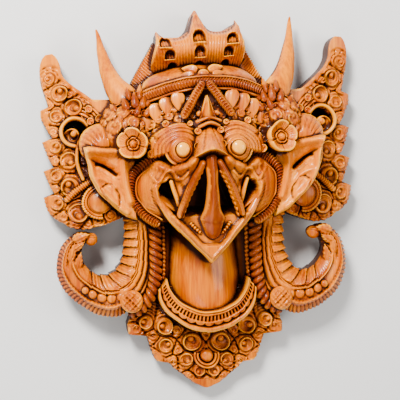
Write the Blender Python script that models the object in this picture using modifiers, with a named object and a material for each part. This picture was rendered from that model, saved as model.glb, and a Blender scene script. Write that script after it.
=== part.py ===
"""A garuda mask carved from one block of wood, lying on its flat back.

X runs to the right across the mask, Y runs up it, and Z comes out of its face.
The origin is at the middle of the back. Places on the carving are given in units
of a drawing on which the mask is 377 units tall, so they follow the height.
"""

import math

import bmesh
import bpy
import numpy as np
from mathutils import Matrix, Vector

# Driving sizes, in metres
HEIGHT = 0.377
RECESS_WIDTH = 0.092
RECESS_HEIGHT = 0.112
RECESS_DEPTH = 0.036
NAIL_HOLE_DIAMETER = 0.006
NAIL_HOLE_DEPTH = 0.016
NAIL_HOLE_SLANT = math.radians(-35)

# The drawing: one unit is this many metres
DRAWING_HEIGHT = 377
UNIT = HEIGHT / DRAWING_HEIGHT
# The carver's right half is a little taller than the left, by this share per unit of X
LEAN = 0.254e-3
SIDES = (-1, 1)
# How far every form reaches below the back before the back is planed flat
BELOW_BACK = 6
MERGE = 2e-6
# Height of the boards' faces at the middle of the mask, and how much they fall away:
# the wings' per unit of X, the apron's per unit of Y
WING_TOP = 66
WING_FALL = 0.28
APRON_TOP = 43
APRON_FALL = 0.14
SMALLEST_BALL_SCROLL = 9
# Places in the drawing that more than one form takes up
EYE = (27, 50)
FLOWER = (70, 59, 88)
PIERCED_SCROLL = (122, 74)
PIERCED_RADIUS = 11.5
COLLAR_MIDDLE = -72
RECESS_MIDDLE = 40
NAIL_HOLE_PLACE = 148
# The block that everything else is joined to, well inside the head
CORE_SIZE = 60
CORE_PLACE = (0, 50, 20)


def clear_scene():
    """Remove whatever the scene holds."""
    for old in list(bpy.data.objects):
        bpy.data.objects.remove(old)


def new_group(name):
    """A collection linked to the scene."""
    group = bpy.data.collections.new(name)
    bpy.context.scene.collection.children.link(group)
    return group


def wood_material():
    """Satin varnished orange-brown wood."""
    material = bpy.data.materials.new("carved_wood")
    material.use_nodes = True
    shader = material.node_tree.nodes["Principled BSDF"]
    shader.inputs["Base Color"].default_value = (0.42, 0.13, 0.025, 1)
    shader.inputs["Roughness"].default_value = 0.42
    shader.inputs["Metallic"].default_value = 0
    return material


def smooth(points, per_span, closed=False):
    """Points of any width on a Catmull-Rom curve through the given ones."""
    knots = np.array(points, float)
    if closed:
        knots = np.vstack([knots[-1], knots, knots[:2]])
    else:
        knots = np.vstack([2 * knots[0] - knots[1], knots, 2 * knots[-1] - knots[-2]])
    t = np.arange(per_span)[:, None] / per_span
    found = []
    for a, b, c, d in zip(knots[:-3], knots[1:-2], knots[2:-1], knots[3:]):
        bend = t**2 * (a - 2.5 * b + 2 * c - d / 2)
        twist = t**3 * (3 * b - 3 * c + d - a) / 2
        found.append(b + t * (c - a) / 2 + bend + twist)
    if not closed:
        found.append(knots[-2:-1])
    return np.vstack(found)


def new_object(bm, name, group):
    """An object with the given shape, linked to a group. The bmesh is used up."""
    mesh = bpy.data.meshes.new(name)
    bm.to_mesh(mesh)
    bm.free()
    made = bpy.data.objects.new(name, mesh)
    group.objects.link(made)
    return made


def file_shape(bm, name, group):
    """Close a shape, turn its faces out, let it lean with the carving, and file it under a group."""
    bmesh.ops.remove_doubles(bm, verts=bm.verts, dist=MERGE)
    bmesh.ops.recalc_face_normals(bm, faces=bm.faces)
    for vertex in bm.verts:
        vertex.co.y *= 1 + LEAN * vertex.co.x / UNIT
    shape = new_object(bm, name, group)
    shape.hide_render = True
    shape.display_type = "WIRE"


def evaluated(helper):
    """A bmesh of an object with its modifiers and curve settings worked out; the object is removed."""
    bpy.context.scene.collection.objects.link(helper)
    graph = bpy.context.evaluated_depsgraph_get()
    mesh = bpy.data.meshes.new_from_object(helper.evaluated_get(graph))
    bm = bmesh.new()
    bm.from_mesh(mesh)
    bm.transform(helper.matrix_world)
    bpy.data.objects.remove(helper)
    bpy.data.meshes.remove(mesh)
    return bm


def flat_curve(outline):
    """A filled flat curve through the outline, one unit thick, standing on Z = 0."""
    curve = bpy.data.curves.new("outline", "CURVE")
    curve.dimensions = "2D"
    curve.fill_mode = "BOTH"
    curve.extrude = UNIT / 2
    spline = curve.splines.new("POLY")
    spline.points.add(len(outline) - 1)
    spline.points.foreach_set("co", [n for x, y in outline for n in (x * UNIT, y * UNIT, UNIT / 2, 1)])
    spline.use_cyclic_u = True
    return bpy.data.objects.new("outline", curve)


def slab(group, name, outline, top, chamfer, bottom=-BELOW_BACK):
    """A board of the given outline. top is its height at the middle, then per unit of |X| and of Y."""
    bm = evaluated(flat_curve(outline))
    bmesh.ops.remove_doubles(bm, verts=bm.verts, dist=MERGE)
    upper = [v for v in bm.verts if v.co.z > UNIT / 2]
    upper_set = set(upper)
    for vertex in bm.verts:
        if vertex not in upper_set:
            vertex.co.z = bottom * UNIT
            continue
        vertex.co.z = top[0] * UNIT + top[1] * abs(vertex.co.x) + top[2] * vertex.co.y
    cap = [face for face in bm.faces if all(v in upper_set for v in face.verts)]
    bmesh.ops.dissolve_faces(bm, faces=cap)
    cap = [face for face in bm.faces if all(v in upper_set for v in face.verts)]
    bmesh.ops.inset_region(bm, faces=cap, thickness=chamfer * UNIT)
    for vertex in upper:
        vertex.co.z -= chamfer * UNIT
    file_shape(bm, name, group)


def rope(group, name, path, radii, flat=1.0, per_span=1, ring=1):
    """A rounded member along a path. Each point has its radius; flat is the depth over the width."""
    rows = np.column_stack([np.array(path, float), np.array(radii, float)])
    rows = smooth(rows, per_span)
    rows[:, 2] /= flat
    curve = bpy.data.curves.new(name, "CURVE")
    curve.dimensions = "3D"
    curve.bevel_depth = UNIT
    curve.bevel_resolution = ring
    curve.use_fill_caps = True
    spline = curve.splines.new("POLY")
    spline.points.add(len(rows) - 1)
    for point, (x, y, z, radius) in zip(spline.points, rows):
        point.co = (x * UNIT, y * UNIT, z * UNIT, 1)
        point.radius = radius
    bm = evaluated(bpy.data.objects.new(name, curve))
    bm.transform(Matrix.Diagonal((1, 1, flat, 1)))
    file_shape(bm, name, group)


def ribbed_rope(group, name, path, low, high, per_span):
    """A rope whose girth swells and shrinks at every other point, as a ribbed or braided strip does."""
    points = smooth(path, per_span)
    radii = [high if i % 2 else low for i in range(len(points))]
    rope(group, name, points, radii, ring=0)


def turned(group, name, profile, centre, steps, lean_x=0.0, lean_y=0.0):
    """A turned form on an axis out of the mask. profile has (radius, height) from the middle outwards."""
    mesh = bpy.data.meshes.new(name)
    points = [(radius * UNIT, 0, height * UNIT) for radius, height in profile]
    mesh.from_pydata(points, [(i, i + 1) for i in range(len(points) - 1)], [])
    helper = bpy.data.objects.new(name, mesh)
    screw = helper.modifiers.new("turn", "SCREW")
    screw.steps = steps
    screw.render_steps = steps
    screw.use_merge_vertices = True
    screw.merge_threshold = MERGE
    bm = evaluated(helper)
    turn = Matrix.Rotation(lean_x, 4, "Y") @ Matrix.Rotation(-lean_y, 4, "X")
    bm.transform(Matrix.Translation(Vector(centre) * UNIT) @ turn)
    file_shape(bm, name, group)


def boss(group, name, centre, radius, steps=5):
    """A scroll seen end on: a round rim with a ball in its hollow, or a plain dish where it is small."""
    if radius < SMALLEST_BALL_SCROLL:
        profile = ((0, 0.1), (0.72, 0.42), (1.0, -0.8), (0, -0.8))
    else:
        profile = ((0, 0.5), (0.42, 0.0), (0.76, 0.42), (1.0, -0.8), (0, -0.8))
    turned(group, name, [(r * radius, h * radius) for r, h in profile], centre, steps)


def ball(group, name, centre, radii, segments=7, rings=4):
    """A rounded lump, with its own half width, half height and half depth."""
    bm = bmesh.new()
    bmesh.ops.create_uvsphere(bm, u_segments=segments, v_segments=rings, radius=1)
    place = Matrix.Translation(Vector(centre) * UNIT)
    bm.transform(place @ Matrix.Diagonal((*(Vector(radii) * UNIT), 1)))
    file_shape(bm, name, group)


def leaf(group, name, base, tip, width, depth, segments=5, rings=4):
    """A pointed leaf from base to tip: a ball drawn out until its far end is sharp."""
    bm = bmesh.new()
    bmesh.ops.create_uvsphere(bm, u_segments=segments, v_segments=rings, radius=1)
    start = Vector(base)
    run = Vector(tip) - start
    along = run.normalized()
    across = along.cross(Vector((0, 0, 1))).normalized()
    out = across.cross(along)
    for vertex in bm.verts:
        reach = (vertex.co.z + 1) / 2
        narrow = 1 - 0.62 * reach
        place = start + run * reach
        place += across * vertex.co.x * width / 2 * narrow
        place += out * vertex.co.y * depth / 2 * narrow
        vertex.co = place * UNIT
    file_shape(bm, name, group)


def loft(group, name, sections):
    """A closed skin over rings of equally many points, each ring a list of (x, y, z)."""
    bm = bmesh.new()
    rings = [[bm.verts.new(Vector(point) * UNIT) for point in ring] for ring in sections]
    count = len(rings[0])
    for near, far in zip(rings, rings[1:]):
        for i in range(count):
            j = (i + 1) % count
            bm.faces.new((near[i], near[j], far[j], far[i]))
    bm.faces.new(rings[0][::-1])
    bm.faces.new(rings[-1])
    file_shape(bm, name, group)


def mirror_path(path, side):
    """The path with X turned to the given side."""
    return [(side * point[0], *point[1:]) for point in path]


def head(block):
    """The rounded head, cheeks, temples and the muzzle behind the beak with its sloping sides."""
    ball(block, "brow_mass", (0, 66, 34), (70, 62, 56), 16, 8)
    ball(block, "dome", (0, 112, 34), (58, 22, 42), 10, 6)
    ball(block, "muzzle", (0, 26, 52), (44, 44, 46), 10, 5)
    for side in SIDES:
        ball(block, f"cheek_{side}", (side * 43, 20, 48), (30, 36, 38), 10, 5)
        ball(block, f"temple_{side}", (side * 74, 68, 38), (27, 38, 44), 10, 5)
        ball(block, f"muzzle_side_{side}", (side * 24, 31, 78), (13, 19, 23), 8, 5)


def frills(details):
    """The ribbed strip round each cheek."""
    edge = ((66, 46, 66), (73, 32, 60), (74, 14, 57), (69, -1, 58), (58, -14, 62), (43, -22, 66))
    for side in SIDES:
        ribbed_rope(details, f"frill_{side}", mirror_path(edge, side), 5.4, 6.8, 2)


def eyes(details):
    """Bulging eyeballs with a raised iris, under brow arcs."""
    profile = ((0, 21), (7, 19.6), (8, 16), (13.4, 10.4), (16.6, 2), (16, -8), (0, -8))
    for side in SIDES:
        x, y = side * EYE[0], EYE[1]
        turned(details, f"eye_{side}", profile, (x, y, 92), 10, side * 0.12, 0.05)
        for number, (reach, size) in enumerate(((21.5, 3), (28.5, 3.4))):
            turns = np.radians(np.linspace(-25, 200, 8))
            across = reach * np.cos(turns)
            heights = 95 - 5 * number - 0.25 * np.abs(across)
            arc = np.column_stack([x + side * across, y + 0.92 * reach * np.sin(turns), heights])
            rope(details, f"brow_{number}_{side}", arc, [size] * len(arc), ring=0)


def beak(block, details, pockets):
    """The hooked upper beak with its long bar, the struts to the mouth corners and the lower beak."""
    mouth = ((4, 40), (12, 34), (31, -10), (20, -20), (12, -34), (0, -43))
    mouth += tuple((-x, y) for x, y in reversed(mouth[:-1]))
    slab(pockets, "mouth", mouth, (150, 0, 0), 1, bottom=60)
    nose = (
        [(-4, 66, 100), (4, 66, 100), (4, 66, 88), (-4, 66, 88)],
        [(-5, 60, 118), (5, 60, 118), (16, 56, 90), (-16, 56, 90)],
        [(-3, 51, 131), (3, 51, 131), (20, 42, 96), (-20, 42, 96)],
        [(-3, 44, 128), (3, 44, 128), (22, 31, 88), (-22, 31, 88)],
        [(-3, 40, 112), (3, 40, 112), (16, 32, 80), (-16, 32, 80)],
    )
    loft(details, "upper_beak", nose)
    bar = ((0, 44, 115), (0, 32, 120), (0, 14, 117), (0, -4, 111), (0, -18, 103))
    rope(details, "beak_bar", bar, (6, 6, 6, 7, 9), flat=1.15)
    tongue = ((5, 0), (9, -6), (19, -14), (17, -24), (7, -33))
    tongue += tuple((-x, y) for x, y in reversed(tongue))
    slab(details, "tongue", tongue, (96, 0, -0.2), 2, bottom=54)
    chin = ((36, -8), (24, -33), (3, -56), (-3, -56), (-24, -33), (-36, -8))
    slab(block, "chin", chin, (84, 0, -0.1), 4)
    for side in SIDES:
        strut = ((4, 38, 112), (14, 20, 110), (30, -12, 98))
        rope(details, f"strut_{side}", mirror_path(strut, side), (5.4, 5, 5), flat=1.3)
        side_mouth = ((36, 28), (47, 20), (53, 10), (44, 0), (36, -6), (34, 4))
        slab(pockets, f"side_mouth_{side}", mirror_path(side_mouth, side), (140, 0, 0), 1, bottom=64)
        fang = ((31, 30, 88), (35, 14, 92), (33, -4, 90))
        rope(details, f"fang_{side}", mirror_path(fang, side), (2.6, 3.2, 2.2), ring=0)
        lip = ((58, 18, 80), (50, 3, 86), (40, -7, 92), (31, -14, 96))
        rope(details, f"lip_{side}", mirror_path(lip, side), (3, 4.5, 5, 4.5), ring=0)
        jaw = ((37, -6, 88), (30, -20, 93), (20, -34, 96), (0, -51, 93))
        rope(details, f"lower_beak_{side}", mirror_path(jaw, side), (6, 6.5, 6.5, 5), flat=1.2)


def ears(block, pockets):
    """Pointed ears with a long hollow in each and a rounded lobe."""
    outline = (
        (118, 58), (102, 55), (84, 53), (62, 50), (56, 20), (62, -8), (84, -4), (98, 8), (107, 24),
        (114, 42),
    )
    for side in SIDES:
        slab(block, f"ear_{side}", mirror_path(outline, side), (58, 0.12, 0.08), 4)
        ball(block, f"ear_lobe_{side}", (side * 80, 4, 52), (15, 15, 18))
        leaf(pockets, f"ear_hollow_{side}", (side * 70, 12, 70), (side * 110, 52, 79), 34, 30, 6, 5)


def flowers(details):
    """A five-petalled flower at each temple."""
    for side in SIDES:
        x, y, z = side * FLOWER[0], FLOWER[1], FLOWER[2]
        profile = ((0, 6), (5, 3), (6, -20), (0, -20))
        turned(details, f"flower_heart_{side}", profile, (x, y, z), 6)
        for number in range(5):
            turn = math.radians(90 + 72 * number)
            tip = (x + 15 * math.cos(turn), y + 15 * math.sin(turn), z + 2)
            root = (x + 2 * math.cos(turn), y + 2 * math.sin(turn), z - 5)
            leaf(details, f"petal_{number}_{side}", tip, root, 17, 8, 4, 3)


def crest_ring(x):
    """The crest cut across at x: a bulging front that turns under to the head, as a ring of points."""
    share = (x / 47) ** 2
    top = 174 - 7 * share + 2 * math.cos(math.pi * x / 20)
    front = 62 - 14 * share
    return [
        (x, top - 2, 4),
        (x, top, 22 - 4 * share),
        (x, top - 8, front - 14),
        (x, 156 - 2 * share, front),
        (x, 140 - 2 * share, front),
        (x, 128 + 2 * share, front - 6),
        (x, 120 + 4 * share, 34),
        (x, 124, 4),
    ]


def headdress(block, details, pockets):
    """The crest with its scoops and thorns, the feather bands, the headband and the jewel."""
    loft(block, "crest", [crest_ring(x) for x in (-47, -40, -20, 0, 20, 40, 47)])
    for side in SIDES:
        feather = ((36, 116), (72, 112), (70, 124), (46, 158), (36, 160))
        slab(block, f"back_band_{side}", mirror_path(feather, side), (24, 0, 0), 2)
        leaf(block, f"thorn_{side}", (side * 32, 152, 36), (side * 42, 170, 36), 22, 22)
    leaf(block, "thorn_middle", (0, 160, 26), (0, 188.5, 23), 24, 26)
    scoops = ((0, 157, 8), (0, 144, 6.5), (0, 134, 5), (34, 154, 7.5), (28.5, 143, 6.2), (26, 133, 5))
    for number, (x, y, size) in enumerate(scoops):
        for side in SIDES if x else (1,):
            centre = (side * x, y - size / 3, crest_ring(x)[3][2] + 1)
            ball(pockets, f"scoop_{number}_{side}", centre, (size, size, 9), 6, 3)
    half_band = ((70, 90, 52), (56, 103, 66), (31, 111, 79))
    band = mirror_path(half_band, -1) + [(0, 114, 84), *half_band[::-1]]
    ribbed_rope(details, "headband", band, 5.6, 6.8, 3)
    for side in SIDES:
        strip = ((3, 112, 88), (14, 94, 92), (26, 76, 94))
        ribbed_rope(details, f"band_fall_{side}", mirror_path(strip, side), 4.2, 5.4, 3)
        for number, (x, y) in enumerate(((27, 97), (40, 91), (53, 83))):
            height = 83 - 0.5 * (x - 27)
            root, end = (side * x, y + 5, height - 4), (side * x, y - 10, height + 2)
            leaf(details, f"brow_petal_{number}_{side}", end, root, 15, 12, 4, 4)
        leaf(details, f"dome_leaf_{side}", (side * 4, 120, 71), (side * 27, 120, 62), 12, 16)
    ball(details, "dome_bead", (0, 121, 71), (7, 6.5, 7))
    leaf(details, "jewel", (0, 78, 90), (0, 104, 92), 22, 30, 4, 4)


def horns(block, details):
    """Smooth tapering horns, each with a leaf at its foot."""
    for side in SIDES:
        path = ((70, 92, 52), (77, 106, 50), (86, 124, 42), (93, 148, 30), (97, 177, 18))
        rope(details, f"horn_{side}", mirror_path(path, side), (14, 13.5, 10.5, 6, 1))
        leaf(details, f"horn_leaf_{side}", (side * 60, 80, 66), (side * 68, 118, 58), 24, 20)


def wings(block, details, pockets):
    """The tall ear ornaments: a crescent board with scrolls, edge leaves and one pierced scroll."""
    outline = (
        (151, 148), (153, 132), (150, 112), (146, 92), (144, 60), (144, 20), (142, -6), (133, -19),
        (120, -24), (104, -21), (86, -11), (66, -4), (62, 60), (66, 104), (100, 104), (116, 115),
        (128, 126), (134, 140), (137, 151), (144, 155),
    )
    scrolls = (
        (135, 112, 10.5), (119, 98, 9.5), (144, 128, 7), (138, 89, 7), (141, 58, 7.5), (127, 44, 10),
        (141, 31, 7), (127, 20, 10), (140, 3, 7.5), (122, -6, 10.5),
    )
    for side in SIDES:
        name = f"wing_{side}"
        slab(block, name, mirror_path(outline, side), (WING_TOP, -WING_FALL, 0), 3)
        for number, y in enumerate((96, 65, 35.5, 9)):
            leaf(block, f"{name}_leaf_{number}", (side * 126, y - 16, 18), (side * 155, y, 18), 30, 22, 4, 4)
        for number, (x, y, radius) in enumerate(scrolls):
            centre = (side * x, y, WING_TOP - WING_FALL * x)
            boss(details, f"{name}_scroll_{number}", centre, radius)
        profile = ((0, 6), (8, 4.5), (11, 0), (11, -8), (0, -8))
        turned(details, f"{name}_disc", profile, (side * 101, 3, 40), 8)
        ball(block, f"{name}_fan", (side * 98, 62, 38), (21, 20, 18), 8, 4)
        x, y = PIERCED_SCROLL
        through = ((0, 60), (PIERCED_RADIUS, 60), (PIERCED_RADIUS, -10), (0, -10))
        turned(pockets, f"{name}_hole", through, (side * x, y, 0), 9)
        ball(details, f"{name}_hole_ball", (side * (x + 4), y - 4, 28), (7.5, 7.5, 7.5), 6, 4)
        turns = np.radians(np.arange(-60, 241, 50))
        reach = PIERCED_RADIUS + 2
        rim = [(side * (x + reach * math.cos(a)), y + reach * math.sin(a), 33) for a in turns]
        rope(details, f"{name}_hole_rim", rim, [3] * len(rim), ring=0)


def neck(block, details):
    """The plain neck, its collar, and the ribbed strips beside it on their ground."""
    rings = ((10, 30), (-50, 36), (-80, 39), (-106, 36), (-118, 26))
    turns = np.radians(np.arange(0, 360, 30))
    sections = [[(girth * math.cos(a), y, 20 + girth * math.sin(a)) for a in turns] for y, girth in rings]
    loft(block, "neck", sections)
    half_arc = ((43, -84, 38), (36, -100, 46), (20, -112, 53))
    arc = mirror_path(half_arc, -1) + [(0, -117, 56), *half_arc[::-1]]
    rope(details, "collar", arc, [9] * len(arc), flat=0.8)
    for name, grow, size in (("collar_roll", 1.2, 3.4), ("collar_lip", 0.82, 3)):
        path = [(x * grow, COLLAR_MIDDLE + (y - COLLAR_MIDDLE) * grow, z + 4) for x, y, z in arc]
        rope(details, name, path, [size] * len(path), ring=0)
    ground = ((24, -14), (62, -14), (58, -60), (62, -98), (24, -104))
    strip = ((50, -20, 48), (49, -50, 46), (49, -76, 42), (56, -96, 38), (68, -110, 32))
    for side in SIDES:
        ribbed_rope(details, f"side_strip_{side}", mirror_path(strip, side), 5, 7, 3)
        slab(block, f"strip_ground_{side}", mirror_path(ground, side), (30, 0, 0), 1)


def limbs(block, details):
    """The scrolled limbs that hang from the cheeks and curl up outside."""
    path = (
        (64, -8, 44), (65, -36, 34), (66, -54, 27), (72, -74, 22), (88, -89, 20), (108, -90, 20),
        (125, -78, 20), (133, -62, 22), (132, -46, 24), (124, -34, 27), (113, -33, 30),
    )
    radii = (14, 15, 16, 18.5, 22, 20.5, 17, 13.5, 11.5, 9.5, 6.5)
    edge = (
        (82, -113, 24), (103, -113, 22), (122, -103, 20), (136, -90, 20), (144, -72, 22), (144, -54, 25),
        (138, -36, 28),
    )
    flute = ((56, -26, 52), (57, -48, 46), (61, -70, 40), (72, -88, 38))
    belly = ((77, -24, 42), (79, -44, 36), (83, -58, 32), (92, -68, 30), (104, -69, 30), (115, -64, 31))
    beads = ((90, -88), (100, -90), (110, -88), (118, -82))
    for side in SIDES:
        rope(block, f"limb_{side}", mirror_path(path, side), radii)
        ribbed_rope(details, f"limb_edge_{side}", mirror_path(edge, side), 4, 5.6, 2)
        rope(details, f"limb_flute_{side}", mirror_path(flute, side), (6, 7, 6.5, 4))
        ribbed_rope(details, f"limb_belly_{side}", mirror_path(belly, side), 6.5, 8.5, 2)
        for number, (x, y) in enumerate(beads):
            ball(details, f"limb_bead_{number}_{side}", (side * x, y, 38), (5.5, 5.5, 5.5), 6, 3)
        ball(details, f"limb_boss_{side}", (side * 74, -97, 34), (10, 10, 9))


def apron(block, details):
    """The pointed leaf below the collar, with its scrolls and middle bead."""
    outline = (
        (80, -110), (77, -132), (58, -134), (56, -147), (49, -161.5), (36, -158), (27, -171), (13, -184),
        (0, -188.5), (-13, -184), (-27, -171), (-36, -158), (-49, -161.5), (-56, -147), (-58, -134),
        (-77, -132), (-80, -110), (-40, -84), (0, -90), (40, -84),
    )
    slab(block, "apron", outline, (APRON_TOP, 0, APRON_FALL), 3)
    scrolls = ((41, -124, 9.5), (14, -140, 11), (40, -144, 8.5), (21, -159, 8), (8, -171, 7), (60, -120, 8.5))
    for side in SIDES:
        for number, (x, y, radius) in enumerate(scrolls):
            centre = (side * x, y, APRON_TOP + APRON_FALL * y)
            boss(details, f"apron_scroll_{number}_{side}", centre, radius)
    ball(details, "apron_bead", (0, -155, APRON_TOP - APRON_FALL * 155), (6.5, 6.5, 8))


def hidden_side(pockets):
    """The hollow behind the face, a slanting hole for a nail, and the plane of the flat back."""
    bm = bmesh.new()
    bmesh.ops.create_uvsphere(bm, u_segments=16, v_segments=8, radius=0.5)
    hollow = Matrix.Diagonal((RECESS_WIDTH, RECESS_HEIGHT, 2 * RECESS_DEPTH, 1))
    bm.transform(Matrix.Translation((0, RECESS_MIDDLE * UNIT, 0)) @ hollow)
    file_shape(bm, "recess", pockets)

    bm = bmesh.new()
    radius = NAIL_HOLE_DIAMETER / 2
    bmesh.ops.create_cone(
        bm, cap_ends=True, segments=12, radius1=radius, radius2=radius, depth=2 * NAIL_HOLE_DEPTH
    )
    slant = Matrix.Rotation(NAIL_HOLE_SLANT, 4, "X")
    bm.transform(Matrix.Translation((0, NAIL_HOLE_PLACE * UNIT, 0)) @ slant)
    file_shape(bm, "nail_hole", pockets)

    bm = bmesh.new()
    bmesh.ops.create_cube(bm, size=2 * HEIGHT)
    bm.transform(Matrix.Translation((0, 0, -HEIGHT)))
    file_shape(bm, "behind_the_back", pockets)


def main():
    clear_scene()
    part = new_group("garuda_mask")
    block = new_group("block")
    pockets = new_group("cutters")
    details = new_group("details")
    backs = new_group("backs")

    head(block)
    beak(block, details, pockets)
    frills(details)
    eyes(details)
    ears(block, pockets)
    flowers(details)
    headdress(block, details, pockets)
    horns(block, details)
    wings(block, details, pockets)
    neck(block, details)
    limbs(block, details)
    apron(block, details)
    hidden_side(backs)

    core = bmesh.new()
    bmesh.ops.create_cube(core, size=CORE_SIZE * UNIT)
    core.transform(Matrix.Translation(Vector(CORE_PLACE) * UNIT))
    mask = new_object(core, "mask", part)
    mask.data.materials.append(wood_material())
    for name, operation, group, solver in (
        ("join_block", "UNION", block, "EXACT"),
        ("cut_pockets", "DIFFERENCE", pockets, "EXACT"),
        ("join_details", "UNION", details, "MANIFOLD"),
        ("finish_back", "DIFFERENCE", backs, "MANIFOLD"),
    ):
        step = mask.modifiers.new(name, "BOOLEAN")
        step.operation = operation
        step.operand_type = "COLLECTION"
        step.collection = group
        step.solver = solver


if __name__ == "__main__":
    main()
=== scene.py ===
"""The finish of a garuda mask carved from one block of wood, lying on its flat back.

X runs to the right across the mask, Y runs up it and Z comes out of its face. Sizes are in
millimetres and become metres where a piece is put into the scene.
"""

from __future__ import annotations

import logging
from dataclasses import dataclass, field
from enum import Enum
from typing import Callable

import bpy
import numpy as np
from mathutils import Matrix, Vector

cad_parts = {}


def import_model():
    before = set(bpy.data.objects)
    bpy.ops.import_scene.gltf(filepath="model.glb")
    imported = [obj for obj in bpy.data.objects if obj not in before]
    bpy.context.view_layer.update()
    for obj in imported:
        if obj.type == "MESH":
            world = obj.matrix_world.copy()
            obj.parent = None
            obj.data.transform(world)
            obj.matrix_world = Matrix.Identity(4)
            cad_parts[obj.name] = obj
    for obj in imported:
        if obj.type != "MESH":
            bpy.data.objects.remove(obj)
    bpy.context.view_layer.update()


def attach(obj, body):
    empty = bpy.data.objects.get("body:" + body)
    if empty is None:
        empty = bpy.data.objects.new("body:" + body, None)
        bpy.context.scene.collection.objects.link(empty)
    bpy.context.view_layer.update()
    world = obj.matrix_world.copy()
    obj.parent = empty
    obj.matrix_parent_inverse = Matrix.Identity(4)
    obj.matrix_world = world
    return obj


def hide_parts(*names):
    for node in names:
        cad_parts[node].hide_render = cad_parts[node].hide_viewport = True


Array = np.ndarray
Cut = Callable[[Array, Array], Array]

LOG = logging.getLogger("garuda_mask")
METRES = 0.001
# Steps in each span of a smooth curve, and in a line that a ridge follows
SPAN_STEPS = 14
LINE_STEPS = 34
# The carver's right half is a little taller than the left, by this share per millimetre of X
LEAN = 0.254e-3


class Winding(Enum):
    """Which way a scroll is wound, seen from the front."""

    LEFT = 1
    RIGHT = -1


@dataclass
class Shell:
    """A closed skin: points in millimetres, four-sided faces and three-sided faces."""

    points: Array
    quads: Array
    tris: Array

    def mirrored(self) -> Shell:
        """The same skin on the other side of the mask, its faces turned so that they point out."""
        return Shell(self.points * (-1, 1, 1), self.quads[:, ::-1], self.tris[:, ::-1])


def on_left(shells: list[Shell]) -> list[Shell]:
    """Skins made for the right side, put on the left."""
    return [shell.mirrored() for shell in shells]


def both(shells: list[Shell]) -> list[Shell]:
    """Skins made for the right side, with their mirror images."""
    return shells + on_left(shells)


def zipped(top: Array, bottom: Array) -> Array:
    """Three-sided faces between two rows of points that run side by side.

    Each row's points stand at even shares of it. Every step of one row makes a face with the
    point of the other row that comes just before it.
    """
    t, b = np.linspace(0, 1, len(top)), np.linspace(0, 1, len(bottom))
    above = bottom[np.searchsorted(b[1:], t[1:], "left")]
    below = top[np.searchsorted(t[1:], b[1:], "right")]
    upper = np.column_stack([top[:-1], top[1:], above])
    return np.vstack([upper, np.column_stack([bottom[1:], bottom[:-1], below])])


def skin(rings: Array, face: int = 0) -> Shell:
    """Close a skin over rings of points.

    Neighbouring rings are joined by four-sided faces. Each end ring is closed by a fan to its own
    middle, or on a board from its face to the rest of the ring. The volume that the faces enclose
    tells whether they point out.

    Args:
        rings: Points as (ring, place round the ring, 3).
        face: How many points of each ring belong to the face of a board, or none.

    Returns:
        The closed skin, faces outwards.
    """
    count, around = rings.shape[:2]
    points = np.vstack([rings.reshape(-1, 3), rings[0].mean(0), rings[-1].mean(0)])
    start = np.arange(count - 1)[:, None] * around
    near = np.arange(around)
    far = (near + 1) % around
    corners = (start + near, start + around + near, start + around + far, start + far)
    quads = np.stack(corners, -1).reshape(-1, 4)
    last = (count - 1) * around
    first_fan = np.column_stack([np.full(around, count * around), near, far])
    last_fan = np.column_stack([np.full(around, count * around + 1), last + far, last + near])
    if face:
        first_fan = zipped(near[:face], near[:face - 1:-1])
        last_fan = last + first_fan[:, ::-1]
        points = points[:-2]
    tris = np.vstack([first_fan, last_fan])
    halves = np.vstack([quads[:, :3], quads[:, [0, 2, 3]], tris])
    a, b, c = (points[halves[:, i]] for i in range(3))
    if np.einsum("ij,ij->", a, np.cross(b, c)) < 0:
        quads, tris = quads[:, ::-1], tris[:, ::-1]
    return Shell(points, quads, tris)


def even(points: Array | tuple | list, count: int) -> Array:
    """Evenly spaced stations on a smooth curve.

    The curve is a Catmull-Rom curve through the points, worked out for all spans at once and
    then read at equal steps of its length. Columns after the third are carried along with it.

    Args:
        points: The points that the curve passes through, two or more columns.
        count: How many stations.

    Returns:
        The stations, with as many columns as the points.
    """
    knots = np.asarray(points, float)
    knots = np.vstack([2 * knots[0] - knots[1], knots, 2 * knots[-1] - knots[-2]])
    a, b, c, d = knots[:-3], knots[1:-2], knots[2:-1], knots[3:]
    t = np.linspace(0, 1, SPAN_STEPS, endpoint=False)[:, None, None]
    bend = t**2 * (a - 2.5 * b + 2 * c - d / 2) + t**3 * (3 * b - 3 * c + d - a) / 2
    fine = (b + t * (c - a) / 2 + bend).transpose(1, 0, 2).reshape(-1, knots.shape[1])
    fine = np.vstack([fine, knots[-2]])
    steps = np.linalg.norm(np.diff(fine[:, :3], axis=0), axis=1)
    length = np.concatenate([[0], np.cumsum(steps)])
    wanted = np.linspace(0, length[-1], count)
    return np.stack([np.interp(wanted, length, column) for column in fine.T], 1)


def step(value: Array, low: float, high: float) -> Array:
    """A smooth step from 0 at low to 1 at high."""
    t = np.clip((value - low) / (high - low), 0, 1)
    return t * t * (3 - 2 * t)


def window(value: Array, up: tuple, down: tuple) -> Array:
    """A smooth step up and, further on, a smooth step down again."""
    return step(value, *up) * (1 - step(value, *down))


def hump(value: Array, middle: float, width: float) -> Array:
    """A bell curve: e to the minus square of the distance from the middle in widths."""
    return np.exp(-(((value - middle) / width) ** 2))


def cuts(turns: Array, sharp: float) -> Array:
    """Narrow waves, one for each whole number: a power of the absolute cosine of half turns."""
    return np.abs(np.cos(np.pi * turns)) ** sharp


def cap(q: Array) -> Array:
    """A half round: the root of 1 less the square of q, and 0 beyond 1."""
    return np.sqrt(np.clip(1 - q**2, 0, 1))


def full_turn(count: int) -> Array:
    """Evenly spaced angles round a full turn, as a row."""
    return np.linspace(0, 2 * np.pi, count, endpoint=False)[None, :]


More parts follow.
